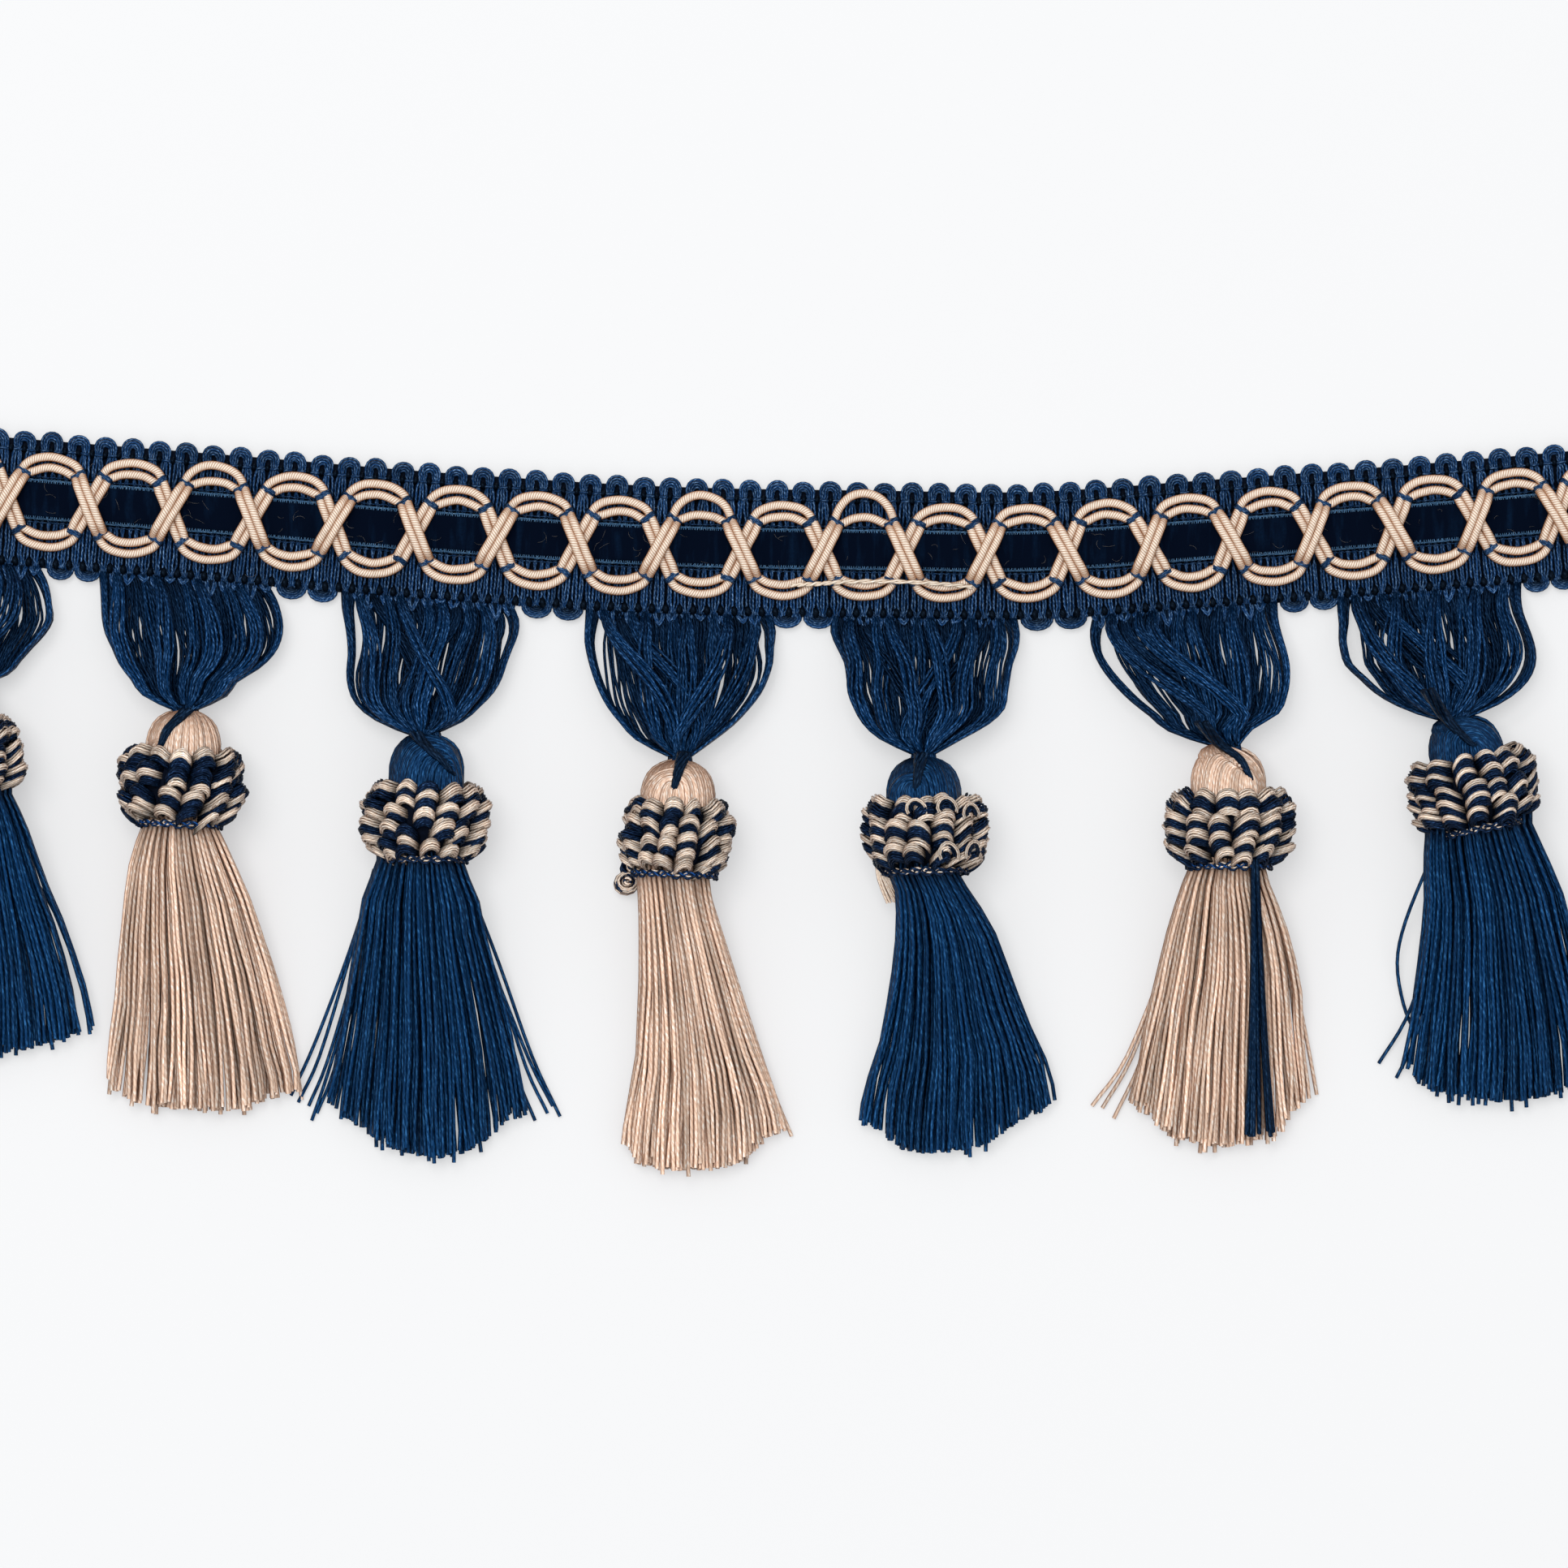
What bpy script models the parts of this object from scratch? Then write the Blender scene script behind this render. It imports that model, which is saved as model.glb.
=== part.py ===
"""A length of tassel fringe, laid flat on a table: a woven heading with looped edges, a velvet ribbon
and two pairs of wrapped cord that wave across it, and seven tassels that hang from loops of the
heading's yarn. X runs along the heading, +Y points to its free edge and Z is up from the table.
The origin is on the heading's back, at the middle of its length.
"""

import math
import random

import bmesh
import bpy
from mathutils import Vector

MM = 0.001
GAP = 0.3 * MM  # kept between pieces that touch on the real trim

# Heading: a woven band whose cross yarns stand out as loops on both edges
LOOPS = 65
LOOP_PITCH = 5.19 * MM
HEADING_LENGTH = LOOPS * LOOP_PITCH
HALF_WIDTH = 12.7 * MM  # from the heading's centre line to its lower row of stitches
TOP_EDGE = 10.6 * MM  # to the feet of the upper loops
LOOP_HEIGHT = 2.2 * MM
RIB_CREST = 1.8 * MM
RIB_VALLEY = 1.25 * MM
COLUMNS_PER_LOOP = 4
# How the heading lies on the table, in mm: it sags a little between its ends
LIE = [
    (-170.0, 12.5),
    (-134.8, 9.7),
    (-93.3, 6.4),
    (-52.0, 3.0),
    (-10.6, 0.5),
    (31.2, -0.3),
    (60.0, -0.5),
    (93.0, 1.7),
    (134.4, 4.8),
    (170.0, 7.9),
]

# Velvet ribbon
RIBBON_HALF = 3.65 * MM
RIBBON_RISE = -0.3 * MM  # of its middle line above the heading's
RIBBON_BOTTOM = RIB_CREST + GAP
RIBBON_TOP = RIBBON_BOTTOM + 0.6 * MM
RIBBON_STEPS = 40

# Wrapped cords: each pair waves from edge to edge, once in two cells
CORD_RADIUS = 0.85 * MM
CORD_APART = 1.02 * MM  # from the pair's middle line to each cord's
CORD_RISE = -0.65 * MM  # of the waves' middle line above the heading's
CELL = 15.66 * MM
FIRST_CROSSING = -168.52 * MM
CELLS = 22
ARC_HALF = 5.2 * MM
ARC_FOOT = 5.75 * MM
ARC_TOP = 7.65 * MM
ARC_FLAT = 0.35  # share of the half arc on each side of its middle that is nearly level
MITRE_LIMIT = 0.5  # keeps a cord's sharp bends from running out to a point
CORD_REST = RIB_CREST + GAP + CORD_RADIUS
UNDER_LEVEL = RIBBON_TOP + GAP + CORD_RADIUS
OVER_LEVEL = UNDER_LEVEL + 2 * CORD_RADIUS + GAP
UNDER_SHARE = 0.8  # share of a leg that lies at its raised level
OVER_SHARE = 0.62

# Tassels: sizes that all seven share
HEAD_TOP = -GAP
HEAD_RINGS = [(-0.9, 3.6), (-2.6, 5.7), (-6.0, 7.3)]  # mm below the top, radius in mm
HEAD_TIP = 1.8 * MM
HEAD_FLAT = 0.92  # height of the head against its width
WAIST_RADIUS = 7.1 * MM
AXIS_RISE = [(0.0, 7.2), (-7.0, 8.8), (-14.0, 10.4), (-22.5, 10.2)]  # mm along, mm above the table
RUFF_START = -7.4 * MM
RUFF_END = 0.9 * MM  # above the waist
RUFF_PROFILE = [(0.0, 0.8), (0.22, 1.0), (0.75, 1.0), (1.0, 0.85)]  # share along, share of its width
RUFF_HALF_HEIGHT = 10.5 * MM
RUFF_BORE = 7.6 * MM
RUFF_LUMPS = 11
RUFF_LUMP = 0.06  # of the radius
SKIRT_LOCKS_ACROSS = 7
SKIRT_LAYERS = 3
# Stations of the skirt: share of its length, half thickness in mm, clearance over the table in mm
SKIRT_STATIONS = [(0.0, 5.9, 4.3), (0.3, 5.2, 1.7), (0.65, 4.0, 0.35), (1.0, 2.9, 0.0)]
SKIRT_FILL = [1.0, 0.84, 0.78, 0.74]  # share of its room that a lock takes at each station
SKIRT_SWAY = 0.5  # degrees that a lock may lean to either side
SKIRT_UNEVEN = 0.028  # share of its length that a lock may fall short
SKIRT_EDGE_SHORT = 0.06  # how much shorter than the middle the skirt's two sides are
SKIRT_FLARE = 0.3  # how much sooner than evenly the skirt spreads
HANGER_COLUMNS = 7
HANGER_LAYERS = 2
HANGER_STATIONS = [0.0, 0.28, 0.6, 1.0]
HANGER_FILL = [1.0, 0.8, 0.8, 0.84]
HANGER_SWAY = 0.25  # share of its room at the heading that a lock's lower part may stray
BOW_OUT = 2.15  # how far the outer loops belly out, against half their height
BOW_DROP = 0.62  # height at which the middle loops leave the neck's line, against half theirs
BOW_TUCK = 2.0  # how much lower the outer loops turn out
# For the lower and the upper layer, in mm: how far it sinks from the neck, and its arch at the heading
BOW_LEVELS = [(2.2, 0.3), (0.4, 3.4)]
NECK_HALF = 2.6 * MM
NECK_DEPTH = 1.7 * MM
NECK_LENGTH = 2.2 * MM
NECK_RISE = 7.0 * MM
NECK_WAIST = 0.86  # width of the neck at its middle against its ends
YARN_DEPTH = 1.5 * MM  # thickness of the loops where they leave the heading

# Each tassel: its colour, the span of heading that its loops leave, where its head starts, its turn,
# the distance from there to its waist, its collar's half width, the directions of its skirt's two
# sides, how far a stray lock leans past each, and the skirt's length. Millimetres and degrees.
NAVY, SAND = "navy", "sand"
TASSEL_COLUMNS = (
    "colour", "root_left", "root_right", "top_x", "top_y", "turn", "waist", "collar",
    "side_left", "side_right", "stray_left", "stray_right", "skirt",
)
TASSELS = [
    (NAVY, -164.1, -128.9, -146.6, -25.6, 4.0, 22.5, 12.1, -8.0, 16.5, 0.0, 4.0, 52.0),
    (SAND, -118.3, -84.7, -102.8, -31.2, -2.5, 22.5, 12.1, -7.5, 15.0, 0.0, 0.0, 54.8),
    (NAVY, -72.7, -37.8, -56.4, -35.8, -1.0, 24.6, 12.3, -12.0, 12.0, 8.0, 8.5, 55.8),
    (SAND, -25.8, 9.4, -8.1, -40.8, -2.5, 22.5, 10.6, -4.0, 16.5, 0.0, 0.0, 56.0),
    (NAVY, 21.9, 57.0, 38.6, -40.2, 0.8, 22.5, 11.8, -8.5, 20.5, 0.0, 0.0, 55.0),
    (SAND, 69.5, 106.2, 97.0, -38.1, 0.0, 23.6, 12.3, -14.0, 12.5, 8.0, 0.0, 54.5),
    (NAVY, 117.7, 152.8, 141.2, -32.4, 11.0, 22.5, 12.6, -4.5, 14.0, 12.0, 0.0, 50.5),
]

COLOURS = {
    "navy_yarn": (0.010, 0.040, 0.125),
    "sand_yarn": (0.62, 0.47, 0.36),
    "velvet": (0.002, 0.006, 0.018),
    "cord_wrap": (0.72, 0.53, 0.36),
    "ruff_mix": (0.10, 0.10, 0.13),
}


def clear_scene():
    for obj in list(bpy.data.objects):
        bpy.data.objects.remove(obj)


def make_material(name, roughness=0.55):
    material = bpy.data.materials.new(name)
    material.use_nodes = True
    shader = material.node_tree.nodes["Principled BSDF"]
    shader.inputs["Base Color"].default_value = (*COLOURS[name], 1.0)
    shader.inputs["Roughness"].default_value = roughness
    shader.inputs["Metallic"].default_value = 0.0
    return material


def between(table, x):
    """The value at x of a table of (place, value) rows, which run either up or down."""
    rows = sorted(table)
    if x <= rows[0][0]:
        return rows[0][1]
    for (x0, y0), (x1, y1) in zip(rows, rows[1:]):
        if x <= x1:
            return y0 + (y1 - y0) * (x - x0) / (x1 - x0)
    return rows[-1][1]


def lie_at(x):
    """Height on the page and slope of the heading's centre line, on a smooth curve through LIE."""
    place = min(max(x / MM, LIE[0][0]), LIE[-1][0])
    i = max(k for k in range(len(LIE) - 1) if LIE[k][0] <= place)
    rows = [LIE[max(i - 1, 0)], LIE[i], LIE[i + 1], LIE[min(i + 2, len(LIE) - 1)]]
    (x0, y0), (x1, y1), (x2, y2), (x3, y3) = rows
    span = x2 - x1
    into = (y2 - y0) / (x2 - x0) * span
    out = (y3 - y1) / (x3 - x1) * span
    t = (place - x1) / span
    height = (
        y1 * (2 * t**3 - 3 * t**2 + 1)
        + into * (t**3 - 2 * t**2 + t)
        + y2 * (3 * t**2 - 2 * t**3)
        + out * (t**3 - t**2)
    )
    rise = (
        y1 * (6 * t**2 - 6 * t)
        + into * (3 * t**2 - 4 * t + 1)
        + y2 * (6 * t - 6 * t**2)
        + out * (3 * t**2 - 2 * t)
    )
    return height * MM, rise / span


def on_heading(along, across, level):
    """The point that far along the heading, across it towards its free edge, and above the table."""
    height, slope = lie_at(along)
    square = Vector((-slope, 1.0, 0.0)).normalized()
    return Vector((along, height, 0.0)) + square * across + Vector((0.0, 0.0, level))


def finish_body(bm, name, material, collection, parent=None, location=(0, 0, 0), turn=0.0):
    """Closes a bmesh into an object with its faces pointing out."""
    bmesh.ops.recalc_face_normals(bm, faces=bm.faces)
    mesh = bpy.data.meshes.new(name)
    bm.to_mesh(mesh)
    bm.free()
    obj = bpy.data.objects.new(name, mesh)
    obj.data.materials.append(material)
    obj.location = location
    obj.rotation_euler.z = turn
    obj.parent = parent
    collection.objects.link(obj)
    return obj


def make_band(name, material, collection, columns, edges, bottom, top_of):
    """A flat-backed band along the heading: edges(x) gives its two sides, top_of(column) its level."""
    bm = bmesh.new()
    bmesh.ops.create_grid(bm, x_segments=columns, y_segments=1, size=1.0)
    for vert in bm.verts:
        column = round((vert.co.x + 1) / 2 * columns)
        along = (column / columns - 0.5) * HEADING_LENGTH
        low, high = edges(along)
        vert.co = on_heading(along, high if vert.co.y > 0 else low, top_of(column))
    upper = list(bm.faces)
    grown = bmesh.ops.extrude_face_region(bm, geom=upper, use_keep_orig=True)["geom"]
    back = [item for item in grown if isinstance(item, bmesh.types.BMFace)]
    for vert in {vert for face in back for vert in face.verts}:
        vert.co.z = bottom
    bmesh.ops.dissolve_faces(bm, faces=back)
    return finish_body(bm, name, material, collection)


def at_column(place):
    """The nearest column of the heading's grid to a place in mm, so that loops start and end on one."""
    pitch = LOOP_PITCH / COLUMNS_PER_LOOP
    return round(place * MM / pitch) * pitch


def lobe(along, left, right):
    """Share of a full loop's height at a place between two roots, with whole loops between them."""
    count = max(1, round((right - left) / LOOP_PITCH))
    return math.sqrt(abs(math.sin(math.pi * count * (along - left) / (right - left))))


def heading_edges(along):
    """The lower and upper edge of the heading: loops stand out except where yarn runs on to a tassel."""
    end = HEADING_LENGTH / 2
    upper = TOP_EDGE + LOOP_HEIGHT * lobe(along, -end, end)
    sides = [-end]
    for tassel in TASSELS:
        row = dict(zip(TASSEL_COLUMNS, tassel))
        sides += [at_column(row["root_left"]), at_column(row["root_right"])]
    sides.append(end)
    for left, right in zip(sides[0::2], sides[1::2]):
        if left < along < right:
            return -HALF_WIDTH - LOOP_HEIGHT * lobe(along, left, right), upper
    return -HALF_WIDTH, upper


def make_heading(materials, collection):
    make_band(
        "heading",
        materials["navy_yarn"],
        collection,
        LOOPS * COLUMNS_PER_LOOP,
        heading_edges,
        0.0,
        lambda column: RIB_CREST if column % 2 else RIB_VALLEY,
    )


def make_ribbon(materials, collection):
    make_band(
        "velvet_ribbon",
        materials["velvet"],
        collection,
        RIBBON_STEPS,
        lambda along: (RIBBON_RISE - RIBBON_HALF, RIBBON_RISE + RIBBON_HALF),
        RIBBON_BOTTOM,
        lambda column: RIBBON_TOP,
    )


def wave_points(upper_first, level, share):
    """The middle line of one pair of cords, as (along, across, level): arcs joined by raised legs."""
    points = []
    for cell in range(-1, CELLS + 1):
        side = 1 if (cell % 2 == 0) == upper_first else -1
        middle = FIRST_CROSSING + (cell + 0.5) * CELL
        for place, reach in (
            (-1.0, ARC_FOOT),
            (-ARC_FLAT, ARC_TOP),
            (ARC_FLAT, ARC_TOP),
            (1.0, ARC_FOOT),
        ):
            points.append((middle + place * ARC_HALF, side * reach + CORD_RISE, CORD_REST))
        half_leg = CELL / 2 - ARC_HALF
        for step in (-share, share):
            along = middle + CELL / 2 + step * half_leg
            points.append((along, -side * step * ARC_FOOT + CORD_RISE, level))
    return points


def make_cord(name, points, offset, material, collection):
    """One wrapped cord beside the pair's middle line, cut square at the heading's ends."""
    flat = [Vector((along, across, 0.0)) for along, across, _ in points]
    route = []
    for i in range(1, len(points) - 1):
        before = (flat[i] - flat[i - 1]).normalized()
        after = (flat[i + 1] - flat[i]).normalized()
        square = Vector((-(before + after).y, (before + after).x, 0.0)).normalized()
        mitre = offset / max(square.dot(Vector((-before.y, before.x, 0.0))), MITRE_LIMIT)
        place = flat[i] + square * mitre
        if abs(place.x) < HEADING_LENGTH / 2 - CORD_RADIUS:
            route.append(on_heading(place.x, place.y, points[i][2]))
    curve = bpy.data.curves.new(name, "CURVE")
    curve.dimensions = "3D"
    curve.bevel_depth = CORD_RADIUS
    curve.bevel_resolution = 0
    curve.use_fill_caps = True
    spline = curve.splines.new("POLY")
    spline.points.add(len(route) - 1)
    for point, place in zip(spline.points, route):
        point.co = (*place, 1.0)
    obj = bpy.data.objects.new(name, curve)
    obj.data.materials.append(material)
    collection.objects.link(obj)


def make_cords(materials, collection):
    for name, upper_first, level, share in (
        ("cord_over", True, OVER_LEVEL, OVER_SHARE),
        ("cord_under", False, UNDER_LEVEL, UNDER_SHARE),
    ):
        points = wave_points(upper_first, level, share)
        for side, offset in (("left", CORD_APART), ("right", -CORD_APART)):
            make_cord(f"{name}_{side}", points, offset, materials["cord_wrap"], collection)


def disc(a, b):
    """A square's point, from -1 to 1 each way, carried to a round disc."""
    return a * math.sqrt(1 - b * b / 2), b * math.sqrt(1 - a * a / 2)


def grow_locks(bm, across, layers, stations, place, fill):
    """Makes a grid of faces and draws each one out into a lock of yarn, four sided and free of the
    others from its root on. place(a, b, station, lock) carries a point of the grid to a station.
    It returns the vertices of the grid's open rim, each with its direction from the middle."""
    bmesh.ops.create_grid(bm, x_segments=across, y_segments=layers, size=1.0)
    grid = [(face, [vert.co.xy.copy() for vert in face.verts]) for face in bm.faces]
    spots = {vert: vert.co.xy.copy() for vert in bm.verts}
    rim = {vert: spot for vert, spot in spots.items() if vert.is_boundary}
    for vert, spot in spots.items():
        vert.co = place(spot.x, spot.y, 0, None)
    for face, corners in grid:
        middle = sum(corners, Vector((0.0, 0.0))) / len(corners)
        column = round((middle.x + 1) / 2 * across - 0.5)
        layer = round((middle.y + 1) / 2 * layers - 0.5)
        for station in range(1, len(stations)):
            face = bmesh.ops.extrude_discrete_faces(bm, faces=[face])["faces"][0]
            for vert, corner in zip(face.verts, corners):
                spot = middle + (corner - middle) * fill[station]
                vert.co = place(spot.x, spot.y, station, (column, layer))
    return {vert: Vector(disc(*spot)).normalized() for vert, spot in rim.items()}


def draw_out(bm, edges, ways, ring):
    """Extrudes an open loop once and moves each new vertex to ring(way), where way is what ways holds
    for the vertex that it grew from. A new vertex starts out at the old one's place."""
    near = {tuple(vert.co): way for vert, way in ways.items()}
    grown = bmesh.ops.extrude_edge_only(bm, edges=edges)["geom"]
    moved = {item: near[tuple(item.co)] for item in grown if isinstance(item, bmesh.types.BMVert)}
    rim = [item for item in grown if isinstance(item, bmesh.types.BMEdge)]
    rim = [edge for edge in rim if all(vert in moved for vert in edge.verts)]
    for vert, way in moved.items():
        vert.co = ring(way)
    return rim, moved


def close_with_rings(bm, ways, rings):
    """Draws the open rim of a grid of locks out into rings and caps the last one."""
    edges = [edge for edge in bm.edges if edge.is_boundary]
    for ring in rings:
        edges, ways = draw_out(bm, edges, ways, ring)
    bmesh.ops.contextual_create(bm, geom=edges)


def axis_level(y):
    return between(AXIS_RISE, y / MM) * MM


def skirt_place(row, dice):
    """Carries a point of the skirt's grid to a station: the locks fan out, sink and flatten."""
    turn = row["turn"]
    waist = -row["waist"] * MM
    sway = {}

    def place(a, b, station, lock):
        p, q = disc(a, b)
        share, half_depth, clearance = SKIRT_STATIONS[station]
        reach = row["skirt"] * MM * (1.0 - SKIRT_EDGE_SHORT * p * p)
        angle = row["side_left"] + (row["side_right"] - row["side_left"]) * (p + 1) / 2 - turn
        if lock is not None:
            column, layer = lock
            if lock not in sway:
                short = dice.uniform(0.0, SKIRT_UNEVEN)
                sway[lock] = dice.uniform(-SKIRT_SWAY, SKIRT_SWAY), 1.0 - short
            angle += sway[lock][0]
            reach *= sway[lock][1]
            if layer == 0 and column == 0:
                angle -= row["stray_left"]
            if layer == 0 and column == SKIRT_LOCKS_ACROSS - 1:
                angle += row["stray_right"]
        swing = math.radians(angle)
        spread = share * (1.0 + SKIRT_FLARE * (1.0 - share))
        return Vector(
            (
                p * WAIST_RADIUS + math.sin(swing) * reach * spread,
                waist - math.cos(swing) * reach * share,
                (clearance + half_depth * (1 + q)) * MM,
            )
        )

    return place


def make_tassel_body(row, name, material, parent, collection, dice):
    """The head and the skirt: one hank of yarn, bound at its waist, whose locks stand apart below."""
    bm = bmesh.new()
    place = skirt_place(row, dice)
    ways = grow_locks(bm, SKIRT_LOCKS_ACROSS, SKIRT_LAYERS, SKIRT_STATIONS, place, SKIRT_FILL)

    def ring_at(y, radius):
        level = axis_level(y)
        return lambda way: Vector((way.x * radius, y, level + way.y * radius * HEAD_FLAT))

    rings = [ring_at(y * MM, radius * MM) for y, radius in reversed(HEAD_RINGS)]
    rings.append(ring_at(HEAD_TOP, HEAD_TIP))
    close_with_rings(bm, ways, rings)
    return finish_body(bm, name, material, collection, parent)


def make_ruff(row, name, material, parent, collection):
    """The looped collar round the tassel's waist, standing in lumps, flat where it meets the table."""
    bm = bmesh.new()
    circle = bmesh.ops.create_circle(bm, segments=2 * RUFF_LUMPS, radius=1.0)["verts"]
    ways = {vert: math.atan2(vert.co.y, vert.co.x) for vert in circle}

    end = RUFF_END - row["waist"] * MM

    def outer(y, share):
        def place(angle):
            bump = share * (1 + RUFF_LUMP * math.cos(RUFF_LUMPS * angle))
            level = axis_level(y) + math.sin(angle) * RUFF_HALF_HEIGHT * bump
            return Vector((math.cos(angle) * row["collar"] * MM * bump, y, max(level, 0.0)))

        return place

    def inner(y):
        def place(angle):
            level = axis_level(y) + math.sin(angle) * RUFF_BORE * HEAD_FLAT
            return Vector((math.cos(angle) * RUFF_BORE, y, level))

        return place

    for vert, angle in ways.items():
        vert.co = inner(RUFF_START)(angle)
    rings = [outer(RUFF_START + part * (end - RUFF_START), share) for part, share in RUFF_PROFILE]
    mouth = edges = list(bm.edges)
    for ring in rings + [inner(end)]:
        edges, ways = draw_out(bm, edges, ways, ring)
    bmesh.ops.bridge_loops(bm, edges=mouth + edges)
    return finish_body(bm, name, material, collection, parent)


def hanger_place(row, dice):
    """Carries a point of the neck's grid along its lock, from the neck to the heading's lower edge."""
    neck = Vector((row["top_x"] * MM, row["top_y"] * MM + NECK_LENGTH, 0.0))
    left, right = at_column(row["root_left"]), at_column(row["root_right"])
    locks = HANGER_COLUMNS * HANGER_LAYERS
    pitch = (right - left) / locks
    sway = {}

    def place(a, b, station, lock):
        t = HANGER_STATIONS[station]
        p, q = disc(a, b)
        start = neck + Vector((p * NECK_HALF, 0.0, NECK_RISE + q * NECK_DEPTH))
        if lock is None:
            return start
        column, layer = lock
        if lock not in sway:
            sway[lock] = dice.uniform(-HANGER_SWAY, HANGER_SWAY) * pitch
        middle_a = (column + 0.5) / HANGER_COLUMNS * 2 - 1
        middle_b = (layer + 0.5) / HANGER_LAYERS * 2 - 1
        order = HANGER_LAYERS * column + layer + 0.5
        across = (a - middle_a) * HANGER_COLUMNS / 2
        through = (b - middle_b) * HANGER_LAYERS / 2
        root = on_heading(left + (order + across) * pitch, -HALF_WIDTH - GAP, 0.0)
        root.z = RIB_CREST / 2 + through * YARN_DEPTH
        drop = (root.y - start.y) * 0.5
        lean = (root.x - neck.x) / (right - left)
        sink, arch = BOW_LEVELS[layer]
        tuck = BOW_DROP * (1 - BOW_TUCK * abs(lean))
        bow = start + Vector((lean * BOW_OUT * drop, tuck * drop, -sink * MM))
        hang = root + Vector((sway[lock], -drop, arch * MM))
        return (
            start * (1 - t) ** 3
            + bow * 3 * t * (1 - t) ** 2
            + hang * 3 * t * t * (1 - t)
            + root * t**3
        )

    return place, neck


def make_hanger(row, name, material, collection, dice):
    """The heading's own yarn, let down in long loops and gathered into the tassel's neck."""
    bm = bmesh.new()
    place, neck = hanger_place(row, dice)
    ways = grow_locks(bm, HANGER_COLUMNS, HANGER_LAYERS, HANGER_STATIONS, place, HANGER_FILL)

    def ring_at(y, scale):
        return lambda way: Vector(
            (
                neck.x + way.x * NECK_HALF * scale,
                row["top_y"] * MM + y,
                NECK_RISE + way.y * NECK_DEPTH * scale,
            )
        )

    close_with_rings(bm, ways, [ring_at(NECK_LENGTH / 2, NECK_WAIST), ring_at(0.0, 1.0)])
    return finish_body(bm, name, material, collection)


# The tie's route over the head and the neck: mm across, along and above the table, share of thickness
TIE_RADIUS = 1.0 * MM
TIE_ROUTE = [
    (-1.0, -6.4, 16.7, 0.45),
    (-0.8, -4.2, 15.9, 0.8),
    (-0.2, -1.8, 14.3, 1.0),
    (0.3, 0.6, 10.8, 1.0),
    (0.6, 2.2, 10.0, 0.8),
]


def make_tie(name, material, parent, collection):
    """The short cord that binds the loops to the tassel: it lies over the head and the neck."""
    curve = bpy.data.curves.new(name, "CURVE")
    curve.dimensions = "3D"
    curve.bevel_depth = TIE_RADIUS
    curve.bevel_resolution = 0
    curve.use_fill_caps = True
    spline = curve.splines.new("POLY")
    spline.points.add(len(TIE_ROUTE) - 1)
    for point, (x, y, level, share) in zip(spline.points, TIE_ROUTE):
        point.co = (x * MM, y * MM, level * MM, 1.0)
        point.radius = share
    obj = bpy.data.objects.new(name, curve)
    obj.data.materials.append(material)
    obj.parent = parent
    collection.objects.link(obj)


def make_tassels(materials, collection):
    dice = random.Random(7)
    for number, values in enumerate(TASSELS, 1):
        row = dict(zip(TASSEL_COLUMNS, values))
        place = bpy.data.objects.new(f"tassel_{number}_place", None)
        place.location = (row["top_x"] * MM, row["top_y"] * MM, 0.0)
        place.rotation_euler.z = math.radians(row["turn"])
        collection.objects.link(place)
        yarn = materials["navy_yarn"] if row["colour"] == NAVY else materials["sand_yarn"]
        make_tassel_body(row, f"tassel_{number}", yarn, place, collection, dice)
        make_ruff(row, f"ruff_{number}", materials["ruff_mix"], place, collection)
        make_hanger(row, f"hanger_{number}", materials["navy_yarn"], collection, dice)
        make_tie(f"tie_{number}", materials["navy_yarn"], place, collection)


def main():
    clear_scene()
    collection = bpy.data.collections.new("tassel_fringe")
    bpy.context.scene.collection.children.link(collection)
    materials = {name: make_material(name) for name in COLOURS}
    make_heading(materials, collection)
    make_ribbon(materials, collection)
    make_cords(materials, collection)
    make_tassels(materials, collection)


main()
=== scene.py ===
"""The looks of a length of tassel fringe: every yarn of its heading, cords, loops, collars and tassels,
laid out in the frame of its solid model. X runs along the heading, +Y to its free edge, Z is up.
"""

import math

import bmesh
import bpy
import numpy as np
from bpy.props import FloatProperty, FloatVectorProperty, IntProperty, PointerProperty
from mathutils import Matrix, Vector


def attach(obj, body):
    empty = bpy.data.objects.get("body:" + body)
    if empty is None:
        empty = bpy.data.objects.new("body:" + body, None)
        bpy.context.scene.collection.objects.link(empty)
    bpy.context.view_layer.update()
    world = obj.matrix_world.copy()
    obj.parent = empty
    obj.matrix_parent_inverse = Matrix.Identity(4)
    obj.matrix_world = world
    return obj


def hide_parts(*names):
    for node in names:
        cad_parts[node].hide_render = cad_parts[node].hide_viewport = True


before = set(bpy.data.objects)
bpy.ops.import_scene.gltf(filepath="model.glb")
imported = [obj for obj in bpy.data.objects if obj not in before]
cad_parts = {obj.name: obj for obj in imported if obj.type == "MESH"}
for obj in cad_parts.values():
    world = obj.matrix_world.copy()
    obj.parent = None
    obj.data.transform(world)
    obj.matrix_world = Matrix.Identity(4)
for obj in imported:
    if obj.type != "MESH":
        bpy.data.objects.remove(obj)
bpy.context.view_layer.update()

bl_info = {
    "name": "Tassel fringe",
    "version": (1, 0, 0),
    "blender": (4, 5, 0),
    "location": "View3D > Sidebar > Fringe",
    "description": "Builds a woven tassel fringe yarn by yarn",
    "category": "Add Mesh",
}

MM = 0.001

# Lengths below are in millimetres. "On the page" means where the camera sees a thing.

# Where the camera stands over the page
CAMERA_X = 11.9
CAMERA_Y = -45.6

# Stage, in metres: the table, the lamp and the sky
TABLE_HALF = 3.0
TABLE_LEVEL = -0.05 * MM
TABLE_GLOW = 0.46  # share of the table's brightness that is its own
LAMP_SIZE = 1.4
LAMP_PLACE = (-0.35, 0.45, 2.3)
LAMP_AIM = (0.0, -0.05, 0.0)
LAMP_COLOUR = (1.0, 0.985, 0.965)
SKY_COLOUR = (0.97, 0.985, 1.0)

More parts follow.
